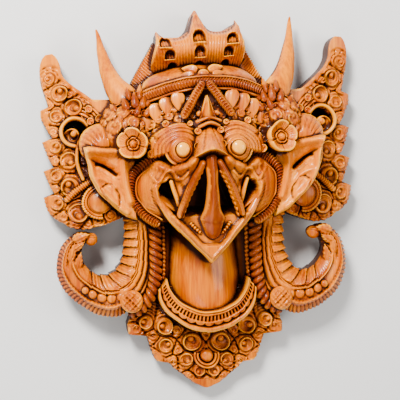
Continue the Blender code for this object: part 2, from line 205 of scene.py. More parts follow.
def between(near: Array, far: Array, count: int) -> tuple[Array, Array, Array]:
    """A grid between two edges that run side by side: its X, its Y and the share of the way across."""
    v = np.linspace(0, 1, count)[None, :]
    x, y = (near[:, i : i + 1] + (far[:, i : i + 1] - near[:, i : i + 1]) * v for i in (0, 1))
    return x, y, v


def arc(place: tuple, reach: float, first: float, last: float, height: float, count: int = 26) -> Array:
    """Points on a circle.

    Args:
        place: X and Y of its middle.
        reach: Its radius.
        first, last: Angles in degrees, from the right and turning left.
        height: Height of the points.
        count: How many points.

    Returns:
        The points, three columns.
    """
    a = np.radians(np.linspace(first, last, count))
    return np.column_stack([place[0] + reach * np.cos(a), place[1] + reach * np.sin(a), height + 0 * a])


def no_cut(s: Array, a: Array) -> Array:
    """A plain surface: the girth is left as it is."""
    return np.ones(np.broadcast(s, a).shape)


def ribs(pitch: float, depth: float, slant: float = 0.0, sharp: float = 4.0) -> Cut:
    """Narrow cuts across a member.

    The girth is 1 less depth times a power of the absolute cosine of the length over the pitch,
    so the cuts are narrow where the power is high. slant shifts the cuts round the member.
    """
    return lambda s, a: 1 - depth * cuts(s / pitch + slant * np.sin(a), sharp)


def braid(pitch: float, depth: float, strands: int = 2) -> Cut:
    """Rounded strands wound round a member: a wave in the angle that turns with the length."""
    return lambda s, a: 1 - depth * cuts(strands * a / (2 * np.pi) + s / pitch, 5)


def sweep(
    path: list | Array,
    width: float | list | tuple,
    depth: float | list | tuple,
    cut: Cut = no_cut,
    along: int = 90,
    around: int = 20,
    square: float = 2.0,
) -> Shell:
    """A rounded member along a path.

    The section is a superellipse that lies across the path and stands out of the mask. Both ends
    close in a quarter round as long as the member is wide there.

    Args:
        path: Points of the middle line, three columns.
        width: Half widths across the mask, one or one for each point.
        depth: Half depths out of the mask, one or one for each point.
        cut: What the surface is cut with, as a factor on the girth.
        along: Stations along the path.
        around: Points round the section.
        square: Exponent of the superellipse; 2 is round and more is squarer.

    Returns:
        The closed skin.
    """
    path = np.asarray(path, float)
    sizes = [np.broadcast_to(np.asarray(size, float), len(path)) for size in (width, depth)]
    rows = even(np.column_stack([path, *sizes]), along)
    centre = rows[:, :3]
    ahead = np.gradient(centre, axis=0)
    ahead /= np.linalg.norm(ahead, axis=1)[:, None]
    side = np.cross(ahead, (0.0, 0.0, 1.0))
    side /= np.linalg.norm(side, axis=1)[:, None] + 1e-9
    out = np.cross(side, ahead)
    s = np.concatenate([[0], np.cumsum(np.linalg.norm(np.diff(centre, axis=0), axis=1))])
    a = full_turn(around)
    x, z = (np.sign(f) * np.abs(f) ** (2 / square) for f in (np.cos(a), np.sin(a)))
    reach = np.minimum(s, s[-1] - s) / np.maximum(rows[:, 3], 0.3)
    taper = np.sqrt(1 - np.clip(1 - reach, 0, 0.999) ** 2)
    girth = cut(s[:, None], a) * taper[:, None]
    rings = centre[:, None] + side[:, None] * (rows[:, 3:4] * girth * x)[..., None]
    return skin(rings + out[:, None] * (rows[:, 4:5] * girth * z)[..., None])


def button(
    centre: tuple,
    radius: float,
    height: Cut,
    skirt: float = 4.0,
    rim: Callable[[Array], Array] | None = None,
    rings: int = 12,
    around: int = 30,
    lean: tuple = (0.0, 0.0),
) -> Shell:
    """A round form seen end on, such as a scroll, a flower or an eye.

    Its face is a height over the share q of the radius, from 0 in the middle to 1 at the rim, and
    the angle a. A skirt falls from the rim and narrows, so that the form sits in its ground.

    Args:
        centre: Middle of the form.
        radius: Radius of the rim.
        height: The height as a function of q and a.
        skirt: How far the skirt falls below the rim.
        rim: The rim's radius as a factor over the angle.
        rings: Rings on the face.
        around: Points round each ring.
        lean: Turns about Y and X, in radians, that tip the form outwards and up.

    Returns:
        The closed skin.
    """
    a = full_turn(around)
    q = (np.arange(rings) + 1)[:, None] / rings
    z = height(q, a) + 0 * a
    reach = radius * (rim(a) if rim else 1.0) * q
    foot = z[-1:] - skirt * np.array([[0.45], [1.0]])
    reach = np.vstack([reach + 0 * a, (reach[-1:] + 0 * a) * [[0.96], [0.8]]])
    local = np.stack([reach * np.cos(a), reach * np.sin(a), np.vstack([z, foot])], -1)
    turn = np.array(Matrix.Rotation(lean[0], 3, "Y") @ Matrix.Rotation(-lean[1], 3, "X"))
    return skin(local @ turn.T + np.asarray(centre, float))


def slab(x: Array, y: Array, z: Array, back: float, wall: int = 4, draw_in: float = 0.0) -> Shell:
    """A board with a carved face.

    The face is the given grid. From its edges walls go down to the back, drawn in a little, and
    the back is flat.

    Args:
        x, y, z: The face's grid, with rows from one end of the board to the other.
        back: Height of the back.
        wall: Rows in each wall.
        draw_in: How far the foot of each wall is drawn in, as a share of the row.

    Returns:
        The closed skin.
    """
    k = np.linspace(0, 1, wall + 1)[1:]
    face = np.stack([x, y, z], -1)
    ends = face[:, :1], face[:, -1:]
    walls = []
    for end, other in (ends[::-1], ends):
        fall = np.repeat(end, wall, 1) + (other - end) * (draw_in * k)[None, :, None]
        fall[..., 2] = end[..., 2] + (back - end[..., 2]) * k
        walls.append(fall)
    columns = face.shape[1]
    under = face[:, np.linspace(0.92 * columns, 0.08 * columns, min(12, columns // 6)).astype(int)].copy()
    under[..., 2] = back
    return skin(np.concatenate([face, walls[0], under, walls[1][:, ::-1]], 1), columns)


def leaf(
    base: tuple,
    tip: tuple,
    width: float,
    depth: float,
    veins: float = 0.5,
    teeth: float = 0.0,
    rows: int = 20,
    around: int = 18,
) -> Shell:
    """A pointed leaf from base to tip.

    Its half width swells as a sine of a root of the length and comes to a point. The upper face
    is a low arch with a vein in the middle and one on each side, and the edge can be toothed.

    Args:
        base: Middle of the stalk end.
        tip: The point.
        width: Greatest width.
        depth: Thickness.
        veins: Depth of the veins.
        teeth: Depth of the teeth along the edge.
        rows: Stations from base to tip.
        around: Points round each station.

    Returns:
        The closed skin.
    """
    u = np.linspace(0.02, 0.995, rows)[:, None]
    a = full_turn(around)
    ahead = np.subtract(tip, base).astype(float)
    side = np.cross(ahead / np.linalg.norm(ahead), (0, 0, 1.0))
    side /= np.linalg.norm(side)
    out = np.cross(side, ahead / np.linalg.norm(ahead))
    swell = np.sin(np.pi * u**0.72) ** 0.8 + 0.25 * (1 - u) ** 2
    half = width / 2 * swell - teeth * np.abs(np.sin(5 * np.pi * u)) ** 3
    across, rise = np.cos(a), np.sin(a)
    arch = np.where(rise > 0, np.abs(rise) ** 0.8, -np.abs(rise) ** 0.5) * depth / 2 * swell**0.7
    vein = veins * (hump(np.abs(across), 0.45, 0.1) - 0.8 * hump(across, 0, 0.12)) * (rise > 0) * swell
    rings = np.asarray(base, float) + ahead * u[..., None]
    rings = rings + side * (half * across)[..., None]
    return skin(rings + out * (arch - vein)[..., None])


def volute(radius: float, wound: Winding, start: float) -> Cut:
    """The face of a scroll.

    A bowl lies inside a rounded rim with a fine line on it. A ball stands to one side of the
    middle, and from it an arm winds out to the rim, where the share of the radius less the angle
    as a share of a full turn is a whole number. The bowl is deepest across from the ball, and the
    rim is highest there.
    """

    def height(q: Array, a: Array) -> Array:
        """The height at a share of the radius and an angle."""
        x, y = q * np.cos(a), q * np.sin(a)
        near = np.hypot(x - 0.34 * np.cos(start), y - 0.34 * np.sin(start)) / 0.34
        ball = 0.42 * cap(near)
        phase = q * 1.25 - wound.value * (a - start) / (2 * np.pi)
        arm = 0.42 * (0.5 + 0.5 * np.cos(2 * np.pi * phase)) ** 1.5 * step(q, 0.15, 0.45)
        across = 0.5 - 0.5 * np.cos(a - start)
        bowl = -(0.35 + 0.25 * across) * (1 - step(q, 0.4, 0.95))
        rim = (0.02 + 0.12 * across) * hump(q, 0.9, 0.08) - 0.12 * across * hump(q, 0.8, 0.03)
        edge = 0.26 * np.clip((q - 0.92) / 0.08, 0, 1) ** 2
        return radius * (np.maximum(bowl + arm, 0.5 * bowl + ball) + rim - edge)

    return height


def dome(radius: float, rise: float) -> Cut:
    """A plain round cap."""
    return lambda q, a: rise * cap(q) + 0 * a


@dataclass
class Scroll:
    """One scroll in a carved ground: its middle, radius, winding and where its spiral starts."""

    x: float
    y: float
    radius: float
    wound: Winding = Winding.LEFT
    start: float = 0.0


def scrollwork(x: Array, y: Array, scrolls: list[Scroll], reach: float = 40.0) -> Array:
    """Relief of closely packed scrolls.

    Each point belongs to the scroll whose rim is nearest. Inside the rim it has that scroll's
    face. Outside, round tongues stand along one half of the rim and concentric flutes, cut across
    like the edge of a leaf, along the other. A groove runs where two scrolls' ground meets.

    Args:
        x, y: Grid of the ground.
        scrolls: The scrolls.
        reach: How far from a rim the flutes go on.

    Returns:
        Heights over the ground.
    """
    flat_x, flat_y = x.ravel()[:, None], y.ravel()[:, None]
    cx, cy, radii = (np.array([getattr(s, key) for s in scrolls]) for key in ("x", "y", "radius"))
    gap = np.hypot(flat_x - cx, flat_y - cy) - radii
    order = np.argsort(gap, axis=1)[:, :2]
    nearest = order[:, 0]
    rows = np.arange(len(gap))
    d = gap[rows, nearest]
    border = gap[rows, order[:, 1]] - d if len(scrolls) > 1 else np.full(len(gap), 99.0)
    angle = np.arctan2(flat_y[:, 0] - cy[nearest], flat_x[:, 0] - cx[nearest])
    turn = angle - np.array([s.start for s in scrolls])[nearest]
    comb = np.abs(np.sin(angle * 0.5 * (radii[nearest] + 5) + d * 0.25)) ** 6
    flutes = 0.8 * np.cos(2 * np.pi * d / 2.9) - 1.2 * comb * np.clip((d - 2.2) / 2, 0, 1)
    edge = 1.7 + 2.0 * np.abs(np.cos(np.round(0.8 * radii[nearest]) * turn)) ** 0.6
    tongues = 2.4 * cap(d / edge) - 1.2 + 0.5 * np.cos(2 * np.pi * (d - edge) / 2.4) * (d > edge)
    outer = flutes + (tongues - flutes) * step(np.cos(turn + 0.6), -0.25, 0.25)
    outer -= 2.6 * hump(border, 0, 1.5) + 1.1 * hump(d, 0.5, 0.6)
    outer *= np.clip((reach - d) / 2, 0, 1)
    found = outer
    for number, one in enumerate(scrolls):
        mine = (nearest == number) & (d <= 0)
        q = (d[mine] + one.radius) / one.radius
        found[mine] = volute(one.radius, one.wound, one.start)(q, angle[mine]) + 0.2 * one.radius
    return found.reshape(x.shape)


def bump(x: Array, y: Array, place: tuple, radii: tuple, height: float, turn: float = 0.0) -> Array:
    """A smooth swelling: the height times e to the minus square of the distance in radii."""
    c, s = np.cos(turn), np.sin(turn)
    u = ((x - place[0]) * c + (y - place[1]) * s) / radii[0]
    v = ((y - place[1]) * c - (x - place[0]) * s) / radii[1]
    return height * np.exp(-(u**2) - v**2)


def ridge(x: Array, y: Array, path: tuple, width: float, rise: float) -> Array:
    """A raised line along a path: the rise times e to the minus square of its distance in widths."""
    line = even(path, LINE_STEPS)
    start, run = line[:-1], np.diff(line, axis=0)
    px, py = x.ravel()[:, None], y.ravel()[:, None]
    t = ((px - start[:, 0]) * run[:, 0] + (py - start[:, 1]) * run[:, 1]) / (run**2).sum(1)
    t = np.clip(t, 0, 1)
    far = np.hypot(px - start[:, 0] - t * run[:, 0], py - start[:, 1] - t * run[:, 1]).min(1)
    return rise * hump(far.reshape(x.shape), 0, width)


def inside(x: Array, y: Array, outline: list) -> Array:
    """Distance to a closed outline, positive inside it.

    The distance is the least of those to the outline's sides, and a point is inside where a ray
    to the right crosses the sides an odd number of times.
    """
    a = np.array(outline, float)
    b = np.roll(a, -1, 0)
    px, py = x[..., None], y[..., None]
    run, rise = (b - a).T
    t = np.clip(((px - a[:, 0]) * run + (py - a[:, 1]) * rise) / (run**2 + rise**2), 0, 1)
    far = np.hypot(px - a[:, 0] - t * run, py - a[:, 1] - t * rise).min(-1)
    level = (a[:, 1] > py) != (b[:, 1] > py)
    crossing = level & (px < a[:, 0] + (py - a[:, 1]) * run / np.where(rise == 0, 1, rise))
    return np.where(crossing.sum(-1) % 2 == 1, far, -far)


class ShadeKit:
    """The shader node groups that every finish uses, each built once."""

    @staticmethod
    def group(name: str, inputs: dict, outputs: dict) -> tuple:
        """A new node group with the given float or colour sockets, and its input and output nodes."""
        tree = bpy.data.node_groups.new(name, "ShaderNodeTree")
        for sockets, in_out in ((inputs, "INPUT"), (outputs, "OUTPUT")):
            for label, kind in sockets.items():
                tree.interface.new_socket(name=label, in_out=in_out, socket_type=kind)
        return tree, tree.nodes.new("NodeGroupInput"), tree.nodes.new("NodeGroupOutput")

    @staticmethod
    def maths(tree: bpy.types.NodeTree, operation: str, first: object, second: object) -> object:
        """A maths node on two sockets or numbers; returns its output."""
        node = tree.nodes.new("ShaderNodeMath")
        node.operation = operation
        for socket, value in zip(node.inputs, (first, second)):
            if isinstance(value, (int, float)):
                socket.default_value = value
            else:
                tree.links.new(value, socket)
        return node.outputs[0]

    @classmethod
    def grain(cls) -> bpy.types.NodeTree:
        """Wood grain along Y: fine fibres, soft growth bands and broad clouds of tone.

        Returns:
            A group with the outputs Figure, from dark to light, and Height.
        """
        tree, _, out = cls.group("wood_grain", {}, {"Figure": "NodeSocketFloat", "Height": "NodeSocketFloat"})
        place = tree.nodes.new("ShaderNodeTexCoord").outputs["Object"]
        found = []
        for scale, stretch, detail in ((55.0, 0.07, 4.0), (420.0, 0.05, 3.0), (26.0, 0.25, 3.0)):
            frame = tree.nodes.new("ShaderNodeMapping")
            frame.inputs["Scale"].default_value = (1.0, stretch, 1.0)
            noise = tree.nodes.new("ShaderNodeTexNoise")
            noise.inputs["Scale"].default_value = scale
            noise.inputs["Detail"].default_value = detail
            noise.inputs["Distortion"].default_value = 0.4
            tree.links.new(place, frame.inputs["Vector"])
            tree.links.new(frame.outputs["Vector"], noise.inputs["Vector"])
            found.append(noise.outputs["Fac"])
        bands, fibres, clouds = found
        mixed = cls.maths(tree, "MULTIPLY_ADD", bands, 0.5)
        mixed.node.inputs[2].default_value = 0.0
        tree.links.new(cls.maths(tree, "MULTIPLY", fibres, 0.3), mixed.node.inputs[2])
        figure = cls.maths(tree, "ADD", mixed, cls.maths(tree, "MULTIPLY", clouds, 0.2))
        tree.links.new(figure, out.inputs["Figure"])
        height = cls.maths(tree, "ADD", fibres, cls.maths(tree, "MULTIPLY", bands, 0.6))
        tree.links.new(height, out.inputs["Height"])
        return tree

    @classmethod
    def patina_and_painted_light(cls) -> bpy.types.NodeTree:
        """Stain with painted shade in the cuts, and wear with a painted highlight on the high edges,
        broken up by a little noise.

        Returns:
            A group that takes the piece's own stain with painted shade and wear with painted highlight
            and puts out both as masks.
        """
        sockets = {"Stain_and_shade": "NodeSocketFloat", "Wear_and_highlight": "NodeSocketFloat"}
        tree, taken, out = cls.group("carving_patina_and_painted_light", dict(sockets, Amount="NodeSocketFloat"), sockets)
        place = tree.nodes.new("ShaderNodeTexCoord").outputs["Object"]
        noise = tree.nodes.new("ShaderNodeTexNoise")
        noise.inputs["Scale"].default_value = 240.0
        noise.inputs["Detail"].default_value = 4.0
        tree.links.new(place, noise.inputs["Vector"])
        loose = cls.maths(tree, "SUBTRACT", noise.outputs["Fac"], 0.5)
        loose = cls.maths(tree, "MULTIPLY", loose, taken.outputs["Amount"])
        # The stain mask carries painted shade and the wear mask a painted highlight.
        for label in sockets:
            mask = cls.maths(tree, "ADD", taken.outputs[label], loose)
            mask.node.use_clamp = True
            tree.links.new(mask, out.inputs[label])
        return tree


@dataclass(frozen=True)
class Finish:
    """A satin varnish over stained wood."""

    name: str
    light: tuple = (0.86, 0.275, 0.024)
    body: tuple = (0.46, 0.086, 0.008)
    # Colour of stain with painted shade in the cuts.
    stain_and_shade_colour: tuple = (0.06, 0.011, 0.0025)
    # Colour of wear with a painted highlight on the high edges.
    wear_and_highlight_colour: tuple = (1.0, 0.45, 0.05)
    roughness: float = 0.42
    duller_in_cuts: float = 0.25
    grain: float = 0.35
    grain_height: float = 0.0004
    patchiness: float = 0.25
    coat: float = 0.25
    coat_roughness: float = 0.14
    shine: float = 0.3

    def material(self, groups: dict[str, bpy.types.NodeTree]) -> bpy.types.Material:
        """Build the material.

        The base colour runs from body to light with the grain, then towards the colour of wear and a
        painted highlight on high edges and the colour of stain and painted shade in the cuts. Cuts are
        duller than the polished wood.

        Args:
            groups: The shared node groups by name.

        Returns:
            The material.
        """
        found = bpy.data.materials.new(self.name)
        found.use_nodes = True
        tree = found.node_tree
        shader = tree.nodes["Principled BSDF"]
        shader.inputs["Metallic"].default_value = 0.0
        shader.inputs["Coat Weight"].default_value = self.coat
        shader.inputs["Coat Roughness"].default_value = self.coat_roughness
        shader.inputs["Specular IOR Level"].default_value = self.shine
        grain, patina_and_painted_light = (self.placed(tree, groups[key]) for key in ("grain", "patina_and_painted_light"))
        patina_and_painted_light.inputs["Amount"].default_value = self.patchiness
        for label in ("Stain_and_shade", "Wear_and_highlight"):
            source = tree.nodes.new("ShaderNodeAttribute")
            source.attribute_name = label.lower()
            tree.links.new(source.outputs["Fac"], patina_and_painted_light.inputs[label])
        figure = tree.nodes.new("ShaderNodeMapRange")
        figure.inputs["From Min"].default_value = 0.4
        figure.inputs["From Max"].default_value = 0.6
        tree.links.new(grain.outputs["Figure"], figure.inputs["Value"])
        colour = self.mixed(tree, figure.outputs["Result"], self.body, self.light)
        # Painted highlight on high edges, mixed with the colour of real wear.
        colour = self.mixed(tree, patina_and_painted_light.outputs["Wear_and_highlight"], colour, self.wear_and_highlight_colour)
        # Painted shade in the cuts, mixed with the colour of real stain.
        colour = self.mixed(tree, patina_and_painted_light.outputs["Stain_and_shade"], colour, self.stain_and_shade_colour)
        tree.links.new(colour, shader.inputs["Base Color"])
        gloss = tree.nodes.new("ShaderNodeMapRange")
        gloss.inputs["To Min"].default_value = self.roughness
        gloss.inputs["To Max"].default_value = self.roughness + self.duller_in_cuts
        tree.links.new(patina_and_painted_light.outputs["Stain_and_shade"], gloss.inputs["Value"])
        tree.links.new(gloss.outputs["Result"], shader.inputs["Roughness"])
        bump_node = tree.nodes.new("ShaderNodeBump")
        bump_node.inputs["Strength"].default_value = self.grain
        bump_node.inputs["Distance"].default_value = self.grain_height
        tree.links.new(grain.outputs["Height"], bump_node.inputs["Height"])
        tree.links.new(bump_node.outputs["Normal"], shader.inputs["Normal"])
        return found

    @staticmethod
    def placed(tree: bpy.types.NodeTree, group: bpy.types.NodeTree) -> bpy.types.Node:
        """Place a shared group in a material."""
        node = tree.nodes.new("ShaderNodeGroup")
        node.node_tree = group
        return node

    @staticmethod
    def mixed(tree: bpy.types.NodeTree, share: object, first: object, second: tuple) -> object:
        """Mix a colour, or a socket's colour, towards a second one by a mask; returns the output."""
        node = tree.nodes.new("ShaderNodeMix")
        node.data_type = "RGBA"
        tree.links.new(share, node.inputs["Factor"])
        a, b = (socket for socket in node.inputs if socket.type == "RGBA")
        if isinstance(first, tuple):
            a.default_value = (*first, 1)
        else:
            tree.links.new(first, a)
        b.default_value = (*second, 1)
        return next(socket for socket in node.outputs if socket.type == "RGBA")


@dataclass
class Bench:
    """Where the pieces are gathered, stained and given painted shade and highlights as one block, and put
    into the scene.
    """

    cell: float = 0.6
    reach: tuple = (165.0, 198.0)
    readings: tuple = (0.0, 0.2, 0.4, 0.6, 0.8)
    near_round: float = 1.5
    wide_round: float = 6.0
    waver: float = 0.28
    # Ranges for stain with painted shade in hollows, and for wear with a painted highlight on high edges.
    near_stain_and_shade: tuple = (0.1, 2.2)
    wide_stain_and_shade: tuple = (3.0, 15.0)
    wide_share: float = 0.75
    wear_and_highlight_from: tuple = (0.5, 2.4)
    most_wear_and_highlight: float = 0.8
    pieces: list = field(default_factory=list)

    def add(self, name: str, shells: list[Shell], finish: Finish) -> None:
        """Join shells into one named piece, lean it as the carving leans and keep it."""
        starts = np.cumsum([0] + [len(s.points) for s in shells[:-1]])
        points = np.vstack([s.points for s in shells])
        quads = np.vstack([s.quads + n for s, n in zip(shells, starts)])
        tris = np.vstack([s.tris + n for s, n in zip(shells, starts)])
        points = self.by_hand(points)
        points[:, 1] *= 1 + LEAN * points[:, 0]
        points[:, 2] = np.maximum(points[:, 2], 0)
        self.pieces.append((name, points, quads, tris, finish))
        LOG.info("%s: %d points, %d triangles", name, len(points), 2 * len(quads) + len(tris))

    def by_hand(self, points: Array) -> Array:
        """The small unevenness of hand carving: slow waves of a few tenths of a millimetre."""
        x, y, z = points.T
        wave = np.stack([
            np.sin(0.11 * y + 0.05 * x) + 0.6 * np.sin(0.27 * y - 0.19 * x + 1),
            np.sin(0.13 * x - 0.04 * y + 2) + 0.6 * np.sin(0.31 * x + 0.17 * y),
            0.7 * np.sin(0.21 * x + 0.17 * y + 0.5),
        ], 1)
        inward = np.stack([z, 150 - np.abs(x), 184 - np.abs(y)])
        fade = np.prod(np.clip(inward / 12, 0, 1), axis=0)
        return points + self.waver * wave * fade[:, None]

    def relief(self) -> Array:
        """The height of the whole carving over a fine grid, the gaps between points filled in.

        Each four-sided face that looks up is read at twenty-five places spread over it.
        """
        size = [int(2 * r / self.cell) for r in self.reach]
        grid = np.zeros(size)
        for _, points, quads, *_ in self.pieces:
            a, b, c, d = (points[quads[:, i]] for i in range(4))
            up = np.cross(c - a, d - b)[:, 2] > 0
            a, b, c, d = a[up], b[up], c[up], d[up]
            for u in self.readings:
                for v in self.readings:
                    spot = (a * (1 - u) + b * u) * (1 - v) + (d * (1 - u) + c * u) * v
                    np.maximum.at(grid, self.cells(spot), spot[:, 2])
        for _ in range(3):
            around = [np.roll(grid, (i, j), (0, 1)) for i in (-1, 0, 1) for j in (-1, 0, 1)]
            grid = np.where(grid > 0, grid, np.max(around, 0))
        return grid

    def cells(self, points: Array) -> tuple:
        """The grid cells that points fall in."""
        places = (((points[:, i] + self.reach[i]) / self.cell).astype(int) for i in (0, 1))
        return tuple(np.clip(place, 0, int(2 * r / self.cell) - 1) for place, r in zip(places, self.reach))

    def blurred(self, grid: Array, radius: float) -> Array:
        """The grid under a Gaussian of the given radius, by its Fourier transform."""
        waves = [np.fft.fftfreq(n, self.cell) for n in grid.shape]
        squares = waves[0][:, None] ** 2 + waves[1][None, :] ** 2
        return np.fft.ifft2(np.fft.fft2(grid) * np.exp(-2 * (np.pi * radius) ** 2 * squares)).real

    def finish(self, groups: dict[str, bpy.types.NodeTree]) -> None:
        """Mark stain and painted shade on every piece by how far it lies below the carving round it, and
        put it in the scene.

        The stain and painted shade grow where a point lies below the carving's height averaged over a
        small and a wider round, and the wear and painted highlight where it stands above the small one.
        """
        grid = self.relief()
        near, wide = self.blurred(grid, self.near_round), self.blurred(grid, self.wide_round)
        materials: dict[str, bpy.types.Material] = {}
        for name, points, quads, tris, finish in self.pieces:
            at = self.cells(points)
            below = near[at] - points[:, 2]
            sunk = wide[at] - points[:, 2]
            # Painted shade: this mask darkens cuts and hollows where shade falls, together with the real
            # stain that gathers there.
            stain_and_shade = step(below, *self.near_stain_and_shade) + self.wide_share * step(sunk, *self.wide_stain_and_shade)
            stain_and_shade = np.clip(stain_and_shade, 0, 1)
            # Painted highlight: this mask lightens high edges where light catches, together with real
            # rubbing.
            wear_and_highlight = self.most_wear_and_highlight * step(-below, *self.wear_and_highlight_from) * (1 - stain_and_shade)
            if finish.name not in materials:
                materials[finish.name] = finish.material(groups)
            piece = self.built(name, points * METRES, quads, tris, {"stain_and_shade": stain_and_shade, "wear_and_highlight": wear_and_highlight})
            piece.data.materials.append(materials[finish.name])
            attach(piece, "root")
            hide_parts("mask")

    @staticmethod
    def built(name: str, points: Array, quads: Array, tris: Array, values: dict) -> bpy.types.Object:
        """Put points and faces into a new smooth mesh object with its own point attributes."""
        mesh = bpy.data.meshes.new(name)
        loops = np.concatenate([quads.ravel(), tris.ravel()]).astype(np.int32)
        counts = np.concatenate([np.full(len(quads), 4), np.full(len(tris), 3)])
        mesh.vertices.add(len(points))
        mesh.vertices.foreach_set("co", points.ravel().astype(np.float32))
        mesh.loops.add(len(loops))
        mesh.loops.foreach_set("vertex_index", loops)
        mesh.polygons.add(len(counts))
        starts = np.concatenate([[0], np.cumsum(counts)[:-1]])
        mesh.polygons.foreach_set("loop_start", starts.astype(np.int32))
        mesh.polygons.foreach_set("use_smooth", np.ones(len(counts), bool))
        mesh.update(calc_edges=True)
        mesh.validate()
        for label, numbers in values.items():
            layer = mesh.attributes.new(label, "FLOAT", "POINT")
            layer.data.foreach_set("value", numbers.astype(np.float32))
        piece = bpy.data.objects.new(name, mesh)
        bpy.context.scene.collection.objects.link(piece)
        return piece


# How much scrollwork is raised
SCROLL_HEIGHT = 1.15

CARVED = Finish("carved_varnished_wood")
# The last colour given here is wear with a painted highlight on high edges.
DARK = Finish(
    "dark_varnished_wood", light=(0.42, 0.09, 0.006), body=(0.22, 0.03, 0.003), wear_and_highlight_colour=(0.78, 0.26, 0.03)
)
POLISHED = Finish("polished_varnished_wood", roughness=0.36, grain=0.2, coat=0.4)
LIGHT = Finish(
    "light_varnished_wood", light=(1.0, 0.38, 0.05), body=(0.72, 0.18, 0.016), roughness=0.4, coat=0.3
)
PALE = Finish(
    "rubbed_pale_wood", light=(1.0, 0.48, 0.08), body=(0.86, 0.32, 0.03), roughness=0.3, coat=0.5
)


